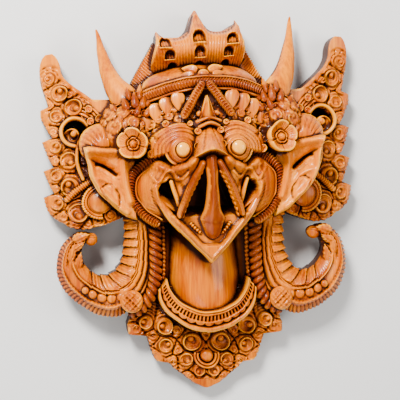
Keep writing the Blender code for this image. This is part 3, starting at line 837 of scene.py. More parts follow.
@dataclass
class Head:
    """The rounded head with its cheeks, mouths and carved forehead, and the hollow behind it."""

    middle: tuple = (0.0, 50.0)
    middle_masses: tuple = (
        (0, 66, 34, 70, 62, 54), (0, 112, 34, 58, 22, 42), (0, 22, 62, 40, 44, 37),
    )
    side_masses: tuple = (
        (42, 18, 46, 31, 37, 41), (74, 68, 38, 27, 38, 42), (22, 33, 72, 15, 19, 27),
        (15, 37, 84, 9, 12, 23), (20.5, 24, 78, 8.5, 13, 23), (26, 9, 70, 7, 13, 22),
    )
    mouth: tuple = ((3, 40), (9, 33), (16, 21), (24, 3), (30, -11), (22, -24), (12, -36), (0, -42))
    mouth_floor: float = 56.0
    side_mouth: tuple = (
        (48.5, 14), (45, 20), (41, 21.5), (37, 25), (33.5, 21), (30, 12), (28, 2), (27, -8), (29.5, -13),
        (36, -7.5), (43, -1), (47.5, 6),
    )
    lip: tuple = ((51, 17), (49.5, 9), (45, 0), (38, -7.5), (30, -15))
    wave: tuple = (
        (52, 25), (48.5, 20.5), (45, 24), (41.5, 29.5), (37, 31.5), (33.5, 28), (31, 24), (27, 23.5),
        (22, 29),
    )
    dimple: tuple = ((57, 31), (53, 27), (50, 29), (49, 33), (52, 35))
    brow_middle: tuple = (25.8, 51.0)
    fold: tuple = ((12, 46), (18, 40), (25, 35.5), (32, 33), (40, 34), (47, 37))
    recess: tuple = (46.0, 56.0, 36.0)
    rings: int = 130
    around: int = 280
    carving: tuple = (
        (52, 77, 5.2), (68, 79.5, 5.6), (57, 67, 4.2), (85.6, 76, 6.0), (78, 91, 4.6), (90, 88, 4.2),
        (62, 89, 4.6), (44, 81, 3.4), (97, 82, 3.6), (70, 98, 4.0), (52, 90, 3.4), (47, 70, 3.0),
        (75, 68, 3.4), (83, 100, 3.4), (92, 64, 3.4), (59, 77, 2.6), (35, 83, 3.6), (27, 80, 3.0),
        (20, 91, 3.2), (41, 88, 2.8), (14.5, 84, 2.4), (31, 91, 2.6),
    )

    def masses(self) -> list:
        """The masses that make up the head, each as its middle and half sizes."""
        pairs = [(side * cx, *rest) for cx, *rest in self.side_masses for side in (1, -1)]
        return [*self.middle_masses, *pairs]

    def reach(self, a: Array) -> Array:
        """How far the head goes from its middle at each angle: where a ray leaves the last mass."""
        c, s = np.cos(a), np.sin(a)
        far = []
        for cx, cy, _, rx, ry, _ in self.masses():
            ox, oy = (self.middle[0] - cx) / rx, (self.middle[1] - cy) / ry
            p, q = c / rx, s / ry
            square, twice = p**2 + q**2, 2 * (ox * p + oy * q)
            root = twice**2 - 4 * square * (ox**2 + oy**2 - 1)
            far.append(np.where(root > 0, (np.sqrt(np.abs(root)) - twice) / (2 * square), 0))
        return np.max(far, 0)

    def surface(self, x: Array, y: Array) -> Array:
        """Height of the face: the masses run together, then carved and cut."""
        heights = []
        for cx, cy, cz, rx, ry, rz in self.masses():
            q = ((x - cx) / rx) ** 2 + ((y - cy) / ry) ** 2
            heights.append(cz + rz * np.sqrt(np.clip(1 - q, 0, 1)) - 30 * np.clip(q - 1, 0, 4))
        z = 3.0 * np.log(sum(np.exp(h / 3.0) for h in heights))
        ax = np.abs(x)
        z += ridge(ax, y, self.fold, 4.6, 9.0) - bump(ax, y, (26.4, 54), (15, 12), 6)
        z = self.brow(ax, y, self.cheek(ax, y, z))
        brow = [Scroll(px, py, r, Winding.LEFT, 2.0 * px) for px, py, r in self.carving]
        share = np.maximum(step(ax, 42, 48) * step(y, 57, 64), step(y, 74, 79)) * step(-y, -112, -104)
        z += SCROLL_HEIGHT * scrollwork(ax, y, brow, 9.0) * share
        full = self.mouth + tuple((-px, py) for px, py in reversed(self.mouth[:-1]))
        floor = self.mouth_floor + 28 * step(-y, 4, 13)
        return z + (floor - z) * step(inside(x, y, full), -0.3, 3.0)

    def brow(self, ax: Array, y: Array, z: Array) -> Array:
        """Raise the brow over each eye in rounded folds that sweep out at their outer ends."""
        cx, cy = self.brow_middle
        far = np.hypot(ax - cx, (y - cy) / 0.95)
        turn = np.degrees(np.arctan2(y - cy, ax - cx))
        turn = np.where(turn < -90, turn + 360, turn)
        across = far - 5.0 * step(-turn, -75, 15)
        fold = 97.5 - 0.5 * (across - 14) - 0.012 * (ax - 26) ** 2
        fold -= 2.0 * cuts((across - 14) / 3.6, 5)
        fold -= 30 * (1 - step(turn, -32, -8)) + 30 * step(turn, 182, 200) + 30 * step(across, 25.5, 29)
        return np.maximum(z, fold)

    def cheek(self, ax: Array, y: Array, z: Array) -> Array:
        """Cut the side mouth, deep above and sloping up to its lower lip, with the lips round it."""
        beside = tuple((px + 3.4, py - 3) for px, py in self.lip)
        z = z + ridge(ax, y, self.lip, 2.0, 3.2) - ridge(ax, y, beside, 0.9, 1.6)
        above = tuple((px, py + 3) for px, py in self.wave)
        z += ridge(ax, y, self.wave, 1.5, 3.0) - ridge(ax, y, above, 1.1, 1.3)
        z += ridge(ax, y, self.dimple, 1.1, 1.8)
        band = step(ax, 49.5, 51.5) * step(-ax, -62, -60) * step(y, -11, -7) * step(-y, -25, -21)
        z -= 0.9 * band * (0.5 + 0.5 * np.cos(2 * np.pi * (y - 0.5 * ax) / 2.8))
        lift = step(0.69 * (ax - 38) - 0.72 * (y + 4), -11, -1)
        return z + (58 + 25 * lift - z) * step(inside(ax, y, self.side_mouth), -0.3, 3.0)

    def build(self, bench: Bench) -> None:
        """Carve the head on rings round its middle, close its side and hollow its back."""
        a = full_turn(self.around)
        edge = self.reach(a)
        edge = np.mean([np.roll(edge, n) for n in range(-4, 5)], 0)
        q = np.sin(np.linspace(0.004, 1, self.rings) * np.pi / 2)[:, None]
        x = self.middle[0] + q * edge * np.cos(a)
        y = self.middle[1] + q * edge * np.sin(a)
        face = np.stack([x, y, self.surface(x, y)], -1)
        k = np.linspace(0, 1, 6)[1:-1, None]
        side = np.stack([x[-1] + 0 * k, y[-1] + 0 * k, face[-1, :, 2] * (1 - k) + 0.2 * k], -1)
        q = np.linspace(1, 0.01, 16)[:, None]
        x = self.middle[0] + q * edge * np.cos(a)
        y = self.middle[1] + q * edge * np.sin(a)
        width, height, depth = self.recess
        bowl = cap(np.hypot(x / width, (y - 40) / height))
        back = np.stack([x, y, 0.2 + depth * bowl], -1)
        bench.add("head", [skin(np.concatenate([face, side, back]))], CARVED)


@dataclass
class Eyes:
    """Bulging eyes with pale pupils, their lids, and the curls at the ends of the brows."""

    place: tuple = (25.8, 50.2, 90.0)
    radius: float = 13.0
    iris: float = 0.5
    lid: tuple = (14.2, 1.9, 95.0)
    curls: tuple = (
        (39, 76, 87, 3.2), (10.6, 67.5, 99, 3.2), (53, 49, 84, 3.8), (17, 75, 94, 2.6), (56, 57, 82, 3.0),
    )
    pupil: float = 6.4

    def ball(self, q: Array, a: Array) -> Array:
        """Height of the eye: a cap, with a groove round the iris, which stands proud."""
        z = 19.0 * cap(0.96 * q) - 2.2 * hump(q, self.iris + 0.03, 0.04)
        return z + 1.6 * step(self.iris - q, -0.02, 0.05) - hump(q, 0.78, 0.025) + 0 * a

    def build(self, bench: Bench) -> None:
        """Turn both eyes and bend their lids."""
        x, y, z = self.place
        reach, size, height = self.lid
        eye = button(self.place, self.radius, self.ball, 14.0, rings=36, around=54)
        spot = (x, y + 0.8, z + 18.6)
        pupil = button(spot, self.pupil, dome(self.pupil, 3.4), 5.0, rings=12, around=32)
        path = arc((x, 0), reach, -75, 235, height)
        path[:, 2] -= 0.01 * (path[:, 0] - x) ** 2
        path[:, 1] = y + 0.95 * path[:, 1]
        lids = [sweep(path, size, size * 1.4, along=60, around=12, square=2.4)]
        lids += [button(curl[:3], curl[3], volute(curl[3], Winding.RIGHT, 1.0), 8.0) for curl in self.curls]
        bench.add("eyes", both([eye]), POLISHED)
        bench.add("pupils", both([pupil]), PALE)
        bench.add("eye_lids", both(lids), CARVED)


@dataclass
class Beak:
    """The hooked upper beak, its long bar, the struts, and the lower beak."""

    nose: tuple = (
        (72, 96, 6, 6), (67, 104, 9.5, 10), (62, 111, 12, 14), (57, 118, 14.5, 17), (52, 124, 17.5, 19),
        (49.8, 125, 19.5, 19), (48.6, 121, 20, 17), (47.2, 114, 19.5, 13), (45, 107, 17.5, 9),
        (42, 101, 13, 6),
    )
    bar: tuple = (
        (0, 46, 104, 6.2, 8), (0.4, 36, 105, 5.8, 8), (0.6, 20, 104, 5.2, 8.5), (0.7, 5, 101, 6.2, 8.5),
        (0.8, -6, 98, 8.0, 8), (0.9, -11.5, 96.5, 10.2, 7.5), (1, -14.5, 95.5, 11.4, 7),
        (1, -18, 94, 10.4, 6.5), (1.2, -25, 91.5, 8.4, 6.5), (1.4, -30, 89, 6.8, 6), (1.4, -33, 87, 5.4, 5),
    )
    strut: tuple = ((6, 41, 106), (10.4, 33, 104.5), (17.6, 20, 101), (24, 4.5, 96.5), (30.2, -12.4, 91))
    lip: tuple = ((25, -27, 80), (33, -17, 82), (41, -6.5, 81.5), (47.2, 4, 82), (50.5, 14, 83))
    fang: tuple = ((27, -4, 84), (31.5, 8, 87), (37, 23, 88.5))
    teeth: tuple = ((19.5, -18, 88), (14.5, -24, 88), (9.5, -29, 87))
    nostril: tuple = (11.6, 54, 104)
    frill: tuple = (
        (46, 45.5, 76), (59, 39.5, 72), (69, 31, 69), (72.5, 20, 67), (72, 8, 66), (67, -2, 65),
        (58.5, -12.5, 65), (46, -20.5, 66),
    )
    inward: tuple = (
        (-2.6, -5.2, 2), (-2.6, -5.2, 2), (-4.5, -3.5, 2), (-5.2, 0, 2), (-5.2, 0, 2), (-4.5, 3, 2),
        (-3, 4.6, 2), (-3, 4.6, 2),
    )

    @staticmethod
    def keel(s: Array, a: Array) -> Array:
        """A sharp ridge along the middle of the upper side, with a flat to each side of it."""
        off = a - np.pi / 2
        return 1 + 0.12 * hump(off, 0, 0.2) - 0.06 * hump(np.abs(off), 0.6, 0.3) + 0 * s

    @staticmethod
    def lipped(s: Array, a: Array) -> Array:
        """A fine line cut along each side of the upper side."""
        return 1 - 0.1 * hump(np.abs(a - np.pi / 2), 0.75, 0.13) + 0 * s

    @staticmethod
    def hole(q: Array, a: Array) -> Array:
        """Height of a nostril: a bowl below its rim."""
        return 1.6 - 6.0 * (1 - q**2) ** 1.5 + 0 * a

    def nose_shell(self) -> Shell:
        """The hook of the upper beak: rows across it, high along the middle and falling to the sides."""
        rows = even([(y, 0, 0, top, half, fall) for y, top, half, fall in self.nose], 60)
        y, top, half, fall = (rows[:, i : i + 1] for i in (0, 3, 4, 5))
        xi = np.linspace(-1, 1, 60)[None, :]
        z = top - fall * (0.42 * np.abs(xi) ** 0.85 + 0.58 * np.abs(xi) ** 2.4)
        z = z - 1.2 * hump(np.abs(xi), 0.42 + 0.006 * (62 - y), 0.07) * step(y, 49, 53)
        return slab(half * xi, y - 9.5 * np.abs(xi) ** 1.8 * step(-y, -62, -50), z, 84, 5, 0.0)

    def lower_beak(self) -> Shell:
        """The lower beak: a pointed trough whose rims come together in front."""
        y = np.linspace(-4, -56.5, 100)[:, None]
        half = np.interp(-y, (4, 9, 16, 24, 33, 42, 49.5, 56.5), (45, 43, 38.5, 31.5, 24, 15.8, 8, 0.8))
        xi = np.linspace(-1, 1, 120)[None, :]
        x = half * xi
        near = half * (1 - np.abs(xi))
        rim = 95 - 0.09 * np.abs(x) - 9 * (1 - np.sqrt(step(near, -0.5, 5.5))) + 1.2 * hump(near, 6.6, 1.5)
        trough = (7 + 26 * step(y, -13, -5)) * step(near, 8.0, 12.5) * step(y, -41, -37)
        z = rim - trough - 1.0 * hump(near, 3.2, 0.7) - 26 * step(y, -12, -4)
        return slab(x, y + 0 * xi, z, 56, 6, 0.1)

    def build(self, bench: Bench) -> None:
        """Shape the beak, its teeth and fangs."""
        bar = np.array(self.bar, float)
        lip = sweep(self.lip, (3.4, 4.4, 3.8, 2.8, 1.4), (8, 7, 5, 3, 2), along=50, around=16)
        bench.add("beak", [self.nose_shell(), *both([lip]), self.lower_beak()], POLISHED)
        middle = sweep(bar[:, :3], bar[:, 3], bar[:, 4], self.keel, 90, 30, square=2.2)
        notched = np.array(self.strut[1:], float) + (-3.2, -1.4, -3.0)
        bars = [
            sweep(self.strut, (3.6, 3.6, 3.6, 3.5, 2.6), 8.0, self.lipped, 60, 26),
            sweep(notched, 1.3, 6.0, ribs(5.6, 0.5, sharp=5), along=80, around=10),
        ]
        bench.add("beak_bars", [middle, *both(bars)], DARK)
        frill = np.array(self.frill, float)
        trims = [
            sweep(self.fang, (3.0, 2.4, 1.9), 3.2, along=30, around=12),
            sweep(self.teeth, 2.0, 3.6, ribs(2.9, 0.5, 0.3, 3), along=50, around=10),
            button(self.nostril, 3.3, self.hole, 8.0, rings=10, around=24),
            sweep(frill + np.array(self.inward), 1.1, 4, along=70, around=8),
        ]
        bench.add("mouth_trims", both(trims), CARVED)
        fringe = sweep(frill, 5.0, 5.0, ribs(2.9, 0.4, 1.0, 1.7), along=300, around=16, square=3.0)
        bench.add("cheek_frills", both([fringe]), DARK)


@dataclass
class Ears:
    """Pointed ears, hollow above and with a rounded lobe below, and the flowers before them."""

    upper: tuple = ((116, 58), (110, 58.5), (102, 57.5), (91, 56), (81, 55.5), (67, 55))
    lower: tuple = ((116, 56.5), (112.5, 43), (110, 28), (102.5, 12), (90.7, 0), (79, -10), (67, -15.5))
    hollow: tuple = (
        (112, 47.5), (103, 46.5), (94, 43.5), (86, 37.5), (82, 30.5), (83.5, 25), (90, 26), (99, 31),
        (106, 37.5),
    )
    lobe: tuple = (
        (100.5, 17), (95, 20.5), (90, 19.5), (84.5, 11), (84, 3), (85.5, -1.5), (92, 3), (97.5, 9.5),
    )
    back: float = 34.0
    flower: tuple = (70.0, 58.5, 88.0)
    flower_radius: float = 15.2

    def surface(self, x: Array, y: Array) -> Array:
        """Height of the ear: rolled edges, a deep bowl with a fold in it, and the lobe."""
        z = 60 + 0.10 * x + 0.06 * y
        z += ridge(x, y, ((114, 56), (103, 54), (91, 52.5), (81, 51.5), (72, 49)), 4.6, 7.0)
        z += ridge(x, y, ((113, 52), (109.5, 40), (106.5, 27), (99.5, 14), (88.5, 2.5), (77, -7)), 3.2, 4.0)
        z += ridge(x, y, ((79, 50), (79, 38), (78, 27), (76.5, 16), (73, 4)), 4.0, 6.0)
        z -= 11 * step(inside(x, y, self.hollow), -2.0, 8.0)
        z += ridge(x, y, ((102, 38), (96, 34.5), (90, 30), (85, 27.5)), 2.0, 4.0)
        z -= ridge(x, y, ((104, 41), (98, 38.6), (91.5, 34), (86, 29.5)), 1.3, 6.0)
        z += ridge(x, y, ((102, 27.5), (94, 24), (87, 17.5)), 2.4, 3.0)
        lobe = inside(x, y, self.lobe)
        z += 2.6 * step(lobe, -0.4, 2.0) - 1.6 * hump(lobe, -0.9, 0.6)
        z -= 4.0 * (1 - step(inside(x, y, self.outline()), 0.0, 1.8))
        return z + 0.35 * np.cos(1.4 * (x - 0.6 * y)) * hump(lobe, 0, 3.0)

    def outline(self) -> list:
        """The ear's edge as one closed line."""
        return [*self.upper, *self.lower[::-1]]

    def petals(self, q: Array, a: Array) -> Array:
        """Height of the flower: a bowl of five petals with fine rays, round a button heart."""
        five = np.abs(np.cos(2.5 * (a - np.pi / 2)))
        bowl = 10.0 * q**1.4 - 2.0 - 3.4 * hump(five, 0, 0.16) * q
        bowl -= 0.9 * np.abs(np.cos(17 * a)) ** 3 * window(q, (0.42, 0.6), (0.8, 0.94))
        heart = 7.0 * cap(q / 0.25) + 2.4 * hump(q, 0.36, 0.05)
        return bowl + heart - 2.4 * hump(q, 0.45, 0.05) - 1.8 * step(q, 0.92, 1.0)

    @staticmethod
    def scallop(a: Array) -> Array:
        """The flower's edge as a share of its radius: five petals with notches between them."""
        return 0.84 + 0.16 * np.abs(np.cos(2.5 * (a - np.pi / 2))) ** 0.5

    def build(self, bench: Bench) -> None:
        """Carve the ears and the flowers."""
        x, y, _ = between(even(self.upper, 110), even(self.lower, 110), 80)
        ear = slab(x, y, self.surface(x, y), self.back, 4)
        bench.add("ears", both([ear]), LIGHT)
        size = self.flower_radius
        flower = button(self.flower, size, self.petals, 14.0, self.scallop, 30, 110, (0.3, 0.12))
        bench.add("flowers", both([flower]), CARVED)


@dataclass
class Crest:
    """The grooved crown with three thorns and nine scoops, and the feather bands behind it."""

    foot: float = 121.0
    edges: tuple = ((37, 121), (41, 128), (46, 138), (45, 148), (42, 158), (41, 168))
    scoops: tuple = (
        (0, 158, 7, 8.5), (0, 143.5, 6, 7.5), (0, 132.5, 5, 4.5), (33, 155, 6.5, 7.5), (29, 143, 5.6, 6.5),
        (26, 133, 4.8, 4.4),
    )
    back: float = 0.1
    band_outside: tuple = ((70, 113), (58, 134), (43, 159))
    band_inside: tuple = ((46, 100), (38, 124), (30, 152))
    band_rows: int = 140
    teeth: int = 20

    def top_edge(self, x: Array) -> Array:
        """Where the crown ends above each X: a low arch with a thorn in the middle and at each end."""
        ax = np.abs(x)
        middle = 9.6 * hump(x, 0, 9.0) + 14.4 * np.exp(-((np.abs(x + 0.5) / 5.4) ** 2.2))
        ends = 9.0 * np.exp(-np.abs(ax - 39.6) / 3.4)
        return 164.3 + 0.095 * x + middle + ends - 2.0 * np.sin(np.pi * np.clip(ax / 40, 0, 1))

    def surface(self, x: Array, y: Array, top: Array) -> Array:
        """Height of the crown: it swells forward, turns under at its foot and is grooved and scooped."""
        ax = np.abs(x)
        z = 62 - 15 * (ax / 47) ** 2
        z -= 27 * (1 - step(y, 117, 149)) + 30 * step(y, 150, 190) + 6 * step(y, top - 5, top)
        z -= 1.1 * (0.5 + 0.5 * np.cos(2 * np.pi * (x * (1 - 0.004 * (y - 120))) / 2.5)) ** 1.5
        z += 5.0 * hump(ax, 37, 7) * hump(y, 158, 14) + 4.0 * hump(x, 0, 7) * hump(y, 168, 12)
        for cx, cy, half, tall in self.scoops:
            u, v = (ax - cx) / half, (y - cy) / tall
            arch = np.where(v > -0.5, np.hypot(u, np.maximum(v, 0)), 9) + np.clip(-v - 0.5, 0, 9)
            z -= (4 + 7 * np.clip(0.5 + v, 0, 1)) * (1 - step(arch, 0.72, 1.0))
            z += 2.6 * hump(v, -0.62, 0.14) * (1 - step(np.abs(u), 0.8, 1.05))
        return z

    def build(self, bench: Bench) -> None:
        """Carve the crown on rows from foot to thorns, and the feather bands."""
        edge = even(self.edges, 60)
        xi = np.linspace(-1, 1, 150)[None, :]
        u = np.linspace(0, 1, 120)[:, None]
        y = self.foot + (167 - self.foot) * u
        x = np.interp(y[:, 0], edge[:, 1], edge[:, 0])[:, None] * xi
        top = self.top_edge(x)
        y = self.foot + (top - self.foot) * u - 0.05 * (40 - x) * (1 - u)
        bench.add("crest", [slab(x, y, self.surface(x, y, top), self.back, 6, 0.02)], CARVED)
        bench.add("feather_bands", both([self.feather_band()]), CARVED)

    def feather_band(self) -> Shell:
        """The band behind the crown: short feathers, grooved apart, with a toothed outer edge."""
        count = self.band_rows
        x, y, v = between(even(self.band_inside, count), even(self.band_outside, count), 24)
        u = np.linspace(0, self.teeth, count)[:, None]
        tooth = 1.1 * np.abs(np.sin(np.pi * u)) * v**8
        groove = 1.2 * cuts(u - 2.6 * v, 5) * step(v, 0.42, 0.5)
        z = 29 - 5 * step(v, 0.3, 1) - groove
        return slab(x - tooth, y - 0.4 * tooth, z, 0.3, 4)


@dataclass
class Headband:
    """The hatched band round the brow with its falling strips, jewel, petals and dome leaves."""

    band: tuple = (
        (-72, 89, 50), (-57, 102.5, 64), (-31, 110.5, 77), (0, 113.5, 82), (31, 110.5, 77), (57, 102.5, 64),
        (72, 89, 50),
    )
    strip: tuple = ((2, 114, 86), (13, 97, 91), (24, 80, 93))
    petals: tuple = ((26, 96), (37, 92.5), (47, 87), (56, 79))
    domes: tuple = ((8, 122, 72, 26, 118), (5, 125, 70, 20, 129), (28, 118, 66, 44, 112))

    @staticmethod
    def jewel() -> Shell:
        """A three-sided jewel: two faces that meet in a ridge from its foot up to its point."""
        u = np.linspace(0, 1, 30)[:, None]
        xi = np.linspace(-1, 1, 30)[None, :]
        half = 7.6 * (1 - u) ** 0.8 + 0.3
        z = 94 + 10 * np.sin(np.pi * (0.15 + 0.6 * (1 - u))) * (1 - np.abs(xi)) ** 0.9
        z = z - 1.3 * hump(np.abs(xi), 0.8, 0.06)
        return slab(half * xi, 80 + 21 * u - 2.5 * (1 - xi**2) * (1 - u), z, 80, 4)

    def build(self, bench: Bench) -> None:
        """Carve the band and what lies round it."""
        path = np.array(self.band, float)
        bands = [
            sweep(path, 5.0, 3.8, ribs(2.8, 0.5, 1.1, 1.6), 420, 16, square=3.0),
            sweep(path * (0.985, 1, 1) + (0, -5.6, 0), 1.3, 3.4, along=80, around=8),
            sweep(path + (0, 5.6, -3), 1.3, 3.4, along=80, around=8),
        ]
        sides = [
            sweep(self.strip, 4.4, 3.6, ribs(2.9, 0.5, 1.1, 1.6), 150, 16, square=3.0),
            button((8.5, 84, 94), 2.6, dome(2.6, 2.2), 6, rings=8, around=20),
            button((5.5, 118.5, 76), 3.0, dome(3.0, 2.4), 6, rings=8, around=20),
        ]
        arches = [
            sweep([(-12, 76, 94), (0, 79.5, 98), (12, 76, 94)], 1.8, 4.5, along=30, around=10),
            sweep([(-10, 71, 96), (0, 75, 100), (10, 71, 96)], 1.8, 4.5, along=30, around=10),
        ]
        bench.add("headband", [*bands, *both(sides), *arches], DARK)
        leaves = []
        for x, y in self.petals:
            z = 86 - 0.42 * (x - 26)
            leaves.append(leaf((x + 0.5, y + 10, z - 7), (x - 1.5, y - 9.5, z - 4), 12.5, 5.0, 1.0))
        for x, y, z, tip_x, tip_y in self.domes:
            leaves.append(leaf((x, y, z - 1), (tip_x, tip_y, z - 6), 9, 5, 0.8))
        middle = button((0, 121, 73), 5.6, dome(5.6, 3.5), 8.0, rings=14, around=36)
        bench.add("forehead_leaves", [*both(leaves), middle, self.jewel()], CARVED)


@dataclass
class Horns:
    """Smooth tapering horns that stand in leafy sockets."""

    path: tuple = ((66, 88, 52), (74, 103, 50), (85, 122, 42), (92, 147, 30), (97.5, 177, 18))
    girth: tuple = (14.5, 13.6, 9.6, 5.4, 0.8)
    leaves: tuple = (
        (60, 92, 68, 57, 105, 65, 7), (66, 92, 70, 66, 110, 65, 7.5), (73, 90, 69, 77, 105, 64, 7),
        (81, 88, 64, 89, 99, 59, 7), (55, 94, 67, 49, 106, 61, 6), (62, 100, 66, 59, 117, 57, 6),
        (70, 100, 66, 73, 114, 59, 6), (66, 84, 71, 61, 98, 68, 6.5), (74, 82, 71, 77, 96, 66, 6.5),
        (57, 84, 71, 50, 96, 67, 6), (84, 80, 63, 95, 90, 58, 6.5),
    )
    knobs: tuple = (
        (57, 88, 70, 3.4), (69, 87, 73, 4.4), (82, 83, 65, 3.8), (63, 106, 64, 3.0), (76, 98, 63, 3.2),
        (61, 79, 73, 3.6), (70, 78, 74, 3.0), (78, 76, 71, 3.6), (52, 99, 64, 2.6),
    )

    @staticmethod
    def grain(s: Array, a: Array) -> Array:
        """Shallow facets and grain along the horn, as a share of its girth."""
        return 1 + 0.012 * np.cos(9 * a + 0.05 * s) + 0.01 * np.cos(17 * a)

    def build(self, bench: Bench) -> None:
        """Sweep the horns and set the leaves round their feet."""
        horn = sweep(self.path, self.girth, self.girth, self.grain, 80, 36, 2.2)
        bench.add("horns", both([horn]), CARVED)
        leaves = [leaf(row[:3], row[3:6], row[6], 8, 0.8, 0.6, 20, 18) for row in self.leaves]
        for x, y, z, r in self.knobs:
            leaves.append(button((x, y, z), r, volute(r, Winding.LEFT, 0.3 * x), 8.0))
        bench.add("horn_leaves", both(leaves), DARK)


@dataclass
class Wings:
    """The tall ear ornaments: crescent boards with scrolls, edge leaves and a pierced scroll."""

    keys: tuple = (
        (66, -8, 76, -11), (66, -5, 91, -17.5), (66, -2, 106, -22.5), (67, 3, 121, -24.5),
        (68, 10, 134, -19.5), (68, 20, 144.5, -8), (66, 32, 145, 8), (64, 44, 144, 24), (64, 58, 144, 44),
        (64, 70, 144, 62), (65, 82, 145, 78), (68, 96, 147, 93), (80, 103, 147, 101), (96, 105, 148.5, 108),
        (104, 106, 151, 116),
        (116, 115, 153, 124), (127, 124.5, 154, 132), (133, 134, 154, 139), (134.5, 143, 153, 145),
        (137, 150, 151, 150), (141, 154, 148, 153.5),
    )
    tips: tuple = (13.0, 39.5, 69.5, 101.0)
    lobe: float = 11.5
    scrolls: tuple = (
        (145, 129, 4.8), (135.5, 114, 8.0), (122.5, 98.5, 8.6), (139.5, 91, 6.2), (126, 112, 3.0),
        (141.5, 60, 6.0), (129, 45.5, 8.6), (142, 31, 5.6), (129, 19.4, 9.4), (142, 3, 6.4), (122, -7, 9.8),
        (104, -15.5, 3.6), (135.5, -10.5, 3.8), (114, 32, 3.6), (114.5, 47, 3.0), (101, 80, 4.6),
        (112, 89, 3.2), (91, -10, 3.0), (141, 46, 2.8), (141.5, 17.5, 2.6), (112, -18, 2.4),
        (143, 75, 3.0), (147, 103, 2.8),
    )
    hole: tuple = (122.0, 74.0, 11.5)
    disc: tuple = (101.0, 3.5, 43.0, 10.8)
    widest: float = 154.8
    border: tuple = (
        (88, 72, 55), (96, 77, 50), (104, 77.5, 46), (112, 73, 42), (118.5, 64, 38), (121, 52, 36),
        (120, 38, 36), (115, 25, 37),
    )
    comb: tuple = ((105, 25, 41), (112, 22.5, 38), (121, 17, 35), (130, 9.5, 32), (134, 5, 30))
    knobs: tuple = ((98, 86, 45, 4.2), (107, 84, 43, 3.6), (84, 90, 52, 3.4), (108, 96, 41, 3.6))
    along: int = 300
    across: int = 118

    def edge_leaves(self, y: Array) -> Array:
        """How far the outer edge moves out: a saw of leaves, toothed below their tips."""
        low = np.array([-18.0, *self.tips[:-1]])[None, :] + 1.5
        high = np.array(self.tips)[None, :]
        share = (y[:, None] - low) / (high - low)
        on = (share > 0) & (share <= 1)
        share = np.where(on, share, 0).sum(1)
        out = self.lobe * share**0.7 * np.where(share > 0.86, (1 - share) / 0.14, 1)
        return out - np.sin(share * np.pi * 7) ** 2 * step(share, 0.1, 0.4) * (share < 0.9)

    def surface(self, x: Array, y: Array, v: Array) -> Array:
        """Height of the board: it falls outwards, with scrollwork that fades by the inner edge."""
        z = 66 - 0.28 * x
        work = [
            Scroll(px, py, r, Winding.LEFT if n % 2 else Winding.RIGHT, 1.7 * n)
            for n, (px, py, r) in enumerate(self.scrolls)
        ]
        share = step(v, 0.1, 0.3) * (1 - step(y, 138, 143)) * (1 - 0.9 * step(x, 145.5, 149.5) * (y < 112))
        plain = step(y, 84, 92) * (1 - step(x, 104, 112))
        z = z + SCROLL_HEIGHT * scrollwork(x, y, work) * share * (1 - plain)
        z -= 2.2 * (1 - step(np.minimum(v, 1 - v), 0, 0.035))
        for n in range(3):
            z -= 1.6 * hump(np.hypot(x - 144, y - 132.5 + 2 * n), 9.5, 0.7) * step(y, 138, 140)
        cx, cy, r = self.hole
        far = np.hypot(x - cx, y - cy)
        return z + 1.5 * hump(far, r + 3, 2) - 30 * step(-far, -r - 0.6, -r + 0.8)

    def fan(self, x: Array, y: Array) -> Array:
        """Ribs of the dome above the ear: cuts that radiate from its foot and curve."""
        a = np.arctan2(y - 44, x - 98) + 0.012 * np.hypot(x - 98, y - 44)
        return np.abs(np.cos(a * 17)) ** 4

    def build(self, bench: Bench) -> None:
        """Carve the board, then its disc, dome, ribs and the ball in the pierced scroll."""
        keys = np.array(self.keys, float)
        rows = even(np.column_stack([keys[:, 2:], 0 * keys[:, 0], keys[:, :2]]), self.along)
        outer, inner = rows[:, :2], rows[:, 3:]
        x, y = outer.T
        below = step(-y, 4, 10) * np.abs(np.sin(0.55 * x - 0.3 * y)) ** 3
        outer = np.column_stack([np.minimum(x + self.edge_leaves(y), self.widest), y + 1.2 * below])
        x, y, v = between(inner, outer, self.across)
        board = slab(x, y, self.surface(x, y, v), 0.4, 8)
        shells = self.ornaments()
        for word, place in (("right", list), ("left", on_left)):
            bench.add(f"{word}_wing", place([board]), CARVED)
            bench.add(f"{word}_wing_ornaments", place(shells), CARVED)

    @staticmethod
    def face(q: Array, a: Array) -> Array:
        """Height of the disc: a low swell, a cut and a rim."""
        return 4.0 * (1 - q**2) - 1.6 * hump(q, 0.9, 0.03) - 1.5 * step(q, 0.95, 1)

    def ornaments(self) -> list[Shell]:
        """The raised forms on one board."""
        cx, cy, r = self.hole
        x, y, z, radius = self.disc
        rim = arc((cx, cy), r + 2.4, 200, 520, 34.5, 40)
        shells = [
            button((x, y, z), radius * 1.12, self.face, 8.0, rings=22, around=48),
            sweep(rim, 1.9, 3.6, along=80, around=12),
            button((cx + 3.6, cy - 4.2, 27), 8.2, volute(8.2, Winding.RIGHT, 2.6), 14.0, rings=18, around=36),
            button((cx + 1.5, cy - 1.5, 30), 3.4, dome(3.4, 3.2), 6.0, rings=10, around=24),
        ]
        for number in range(4):
            rib = arc((cx, cy), r + 7.5 + 3.1 * number, 95 + 7 * number, 205, 0, 20)
            rib[:, 2] = 66.5 - 0.28 * rib[:, 0]
            shells.append(sweep(rib, 1.4, 2.4, along=45, around=8))
        for reach, size, cut in ((13.6, 1.5, no_cut), (16.2, 1.8, ribs(2.6, 0.3, 0.3))):
            ring = arc((x, y), reach, -100, 175, z - 2, 30)
            shells.append(sweep(ring, size, 3.4, cut, along=110, around=10))
        shells.append(self.dome_shell())
        for px, py, pz, pr in self.knobs:
            shells.append(button((px, py, pz), pr, volute(pr, Winding.LEFT, 0.5 * px), 6.0))
        shells.append(sweep(self.border, 2.0, 4.0, along=80, around=10))
        shells.append(sweep(self.comb, 3.4, 5.0, ribs(2.6, 0.32, 0.4, 3), along=120, around=12))
        return shells

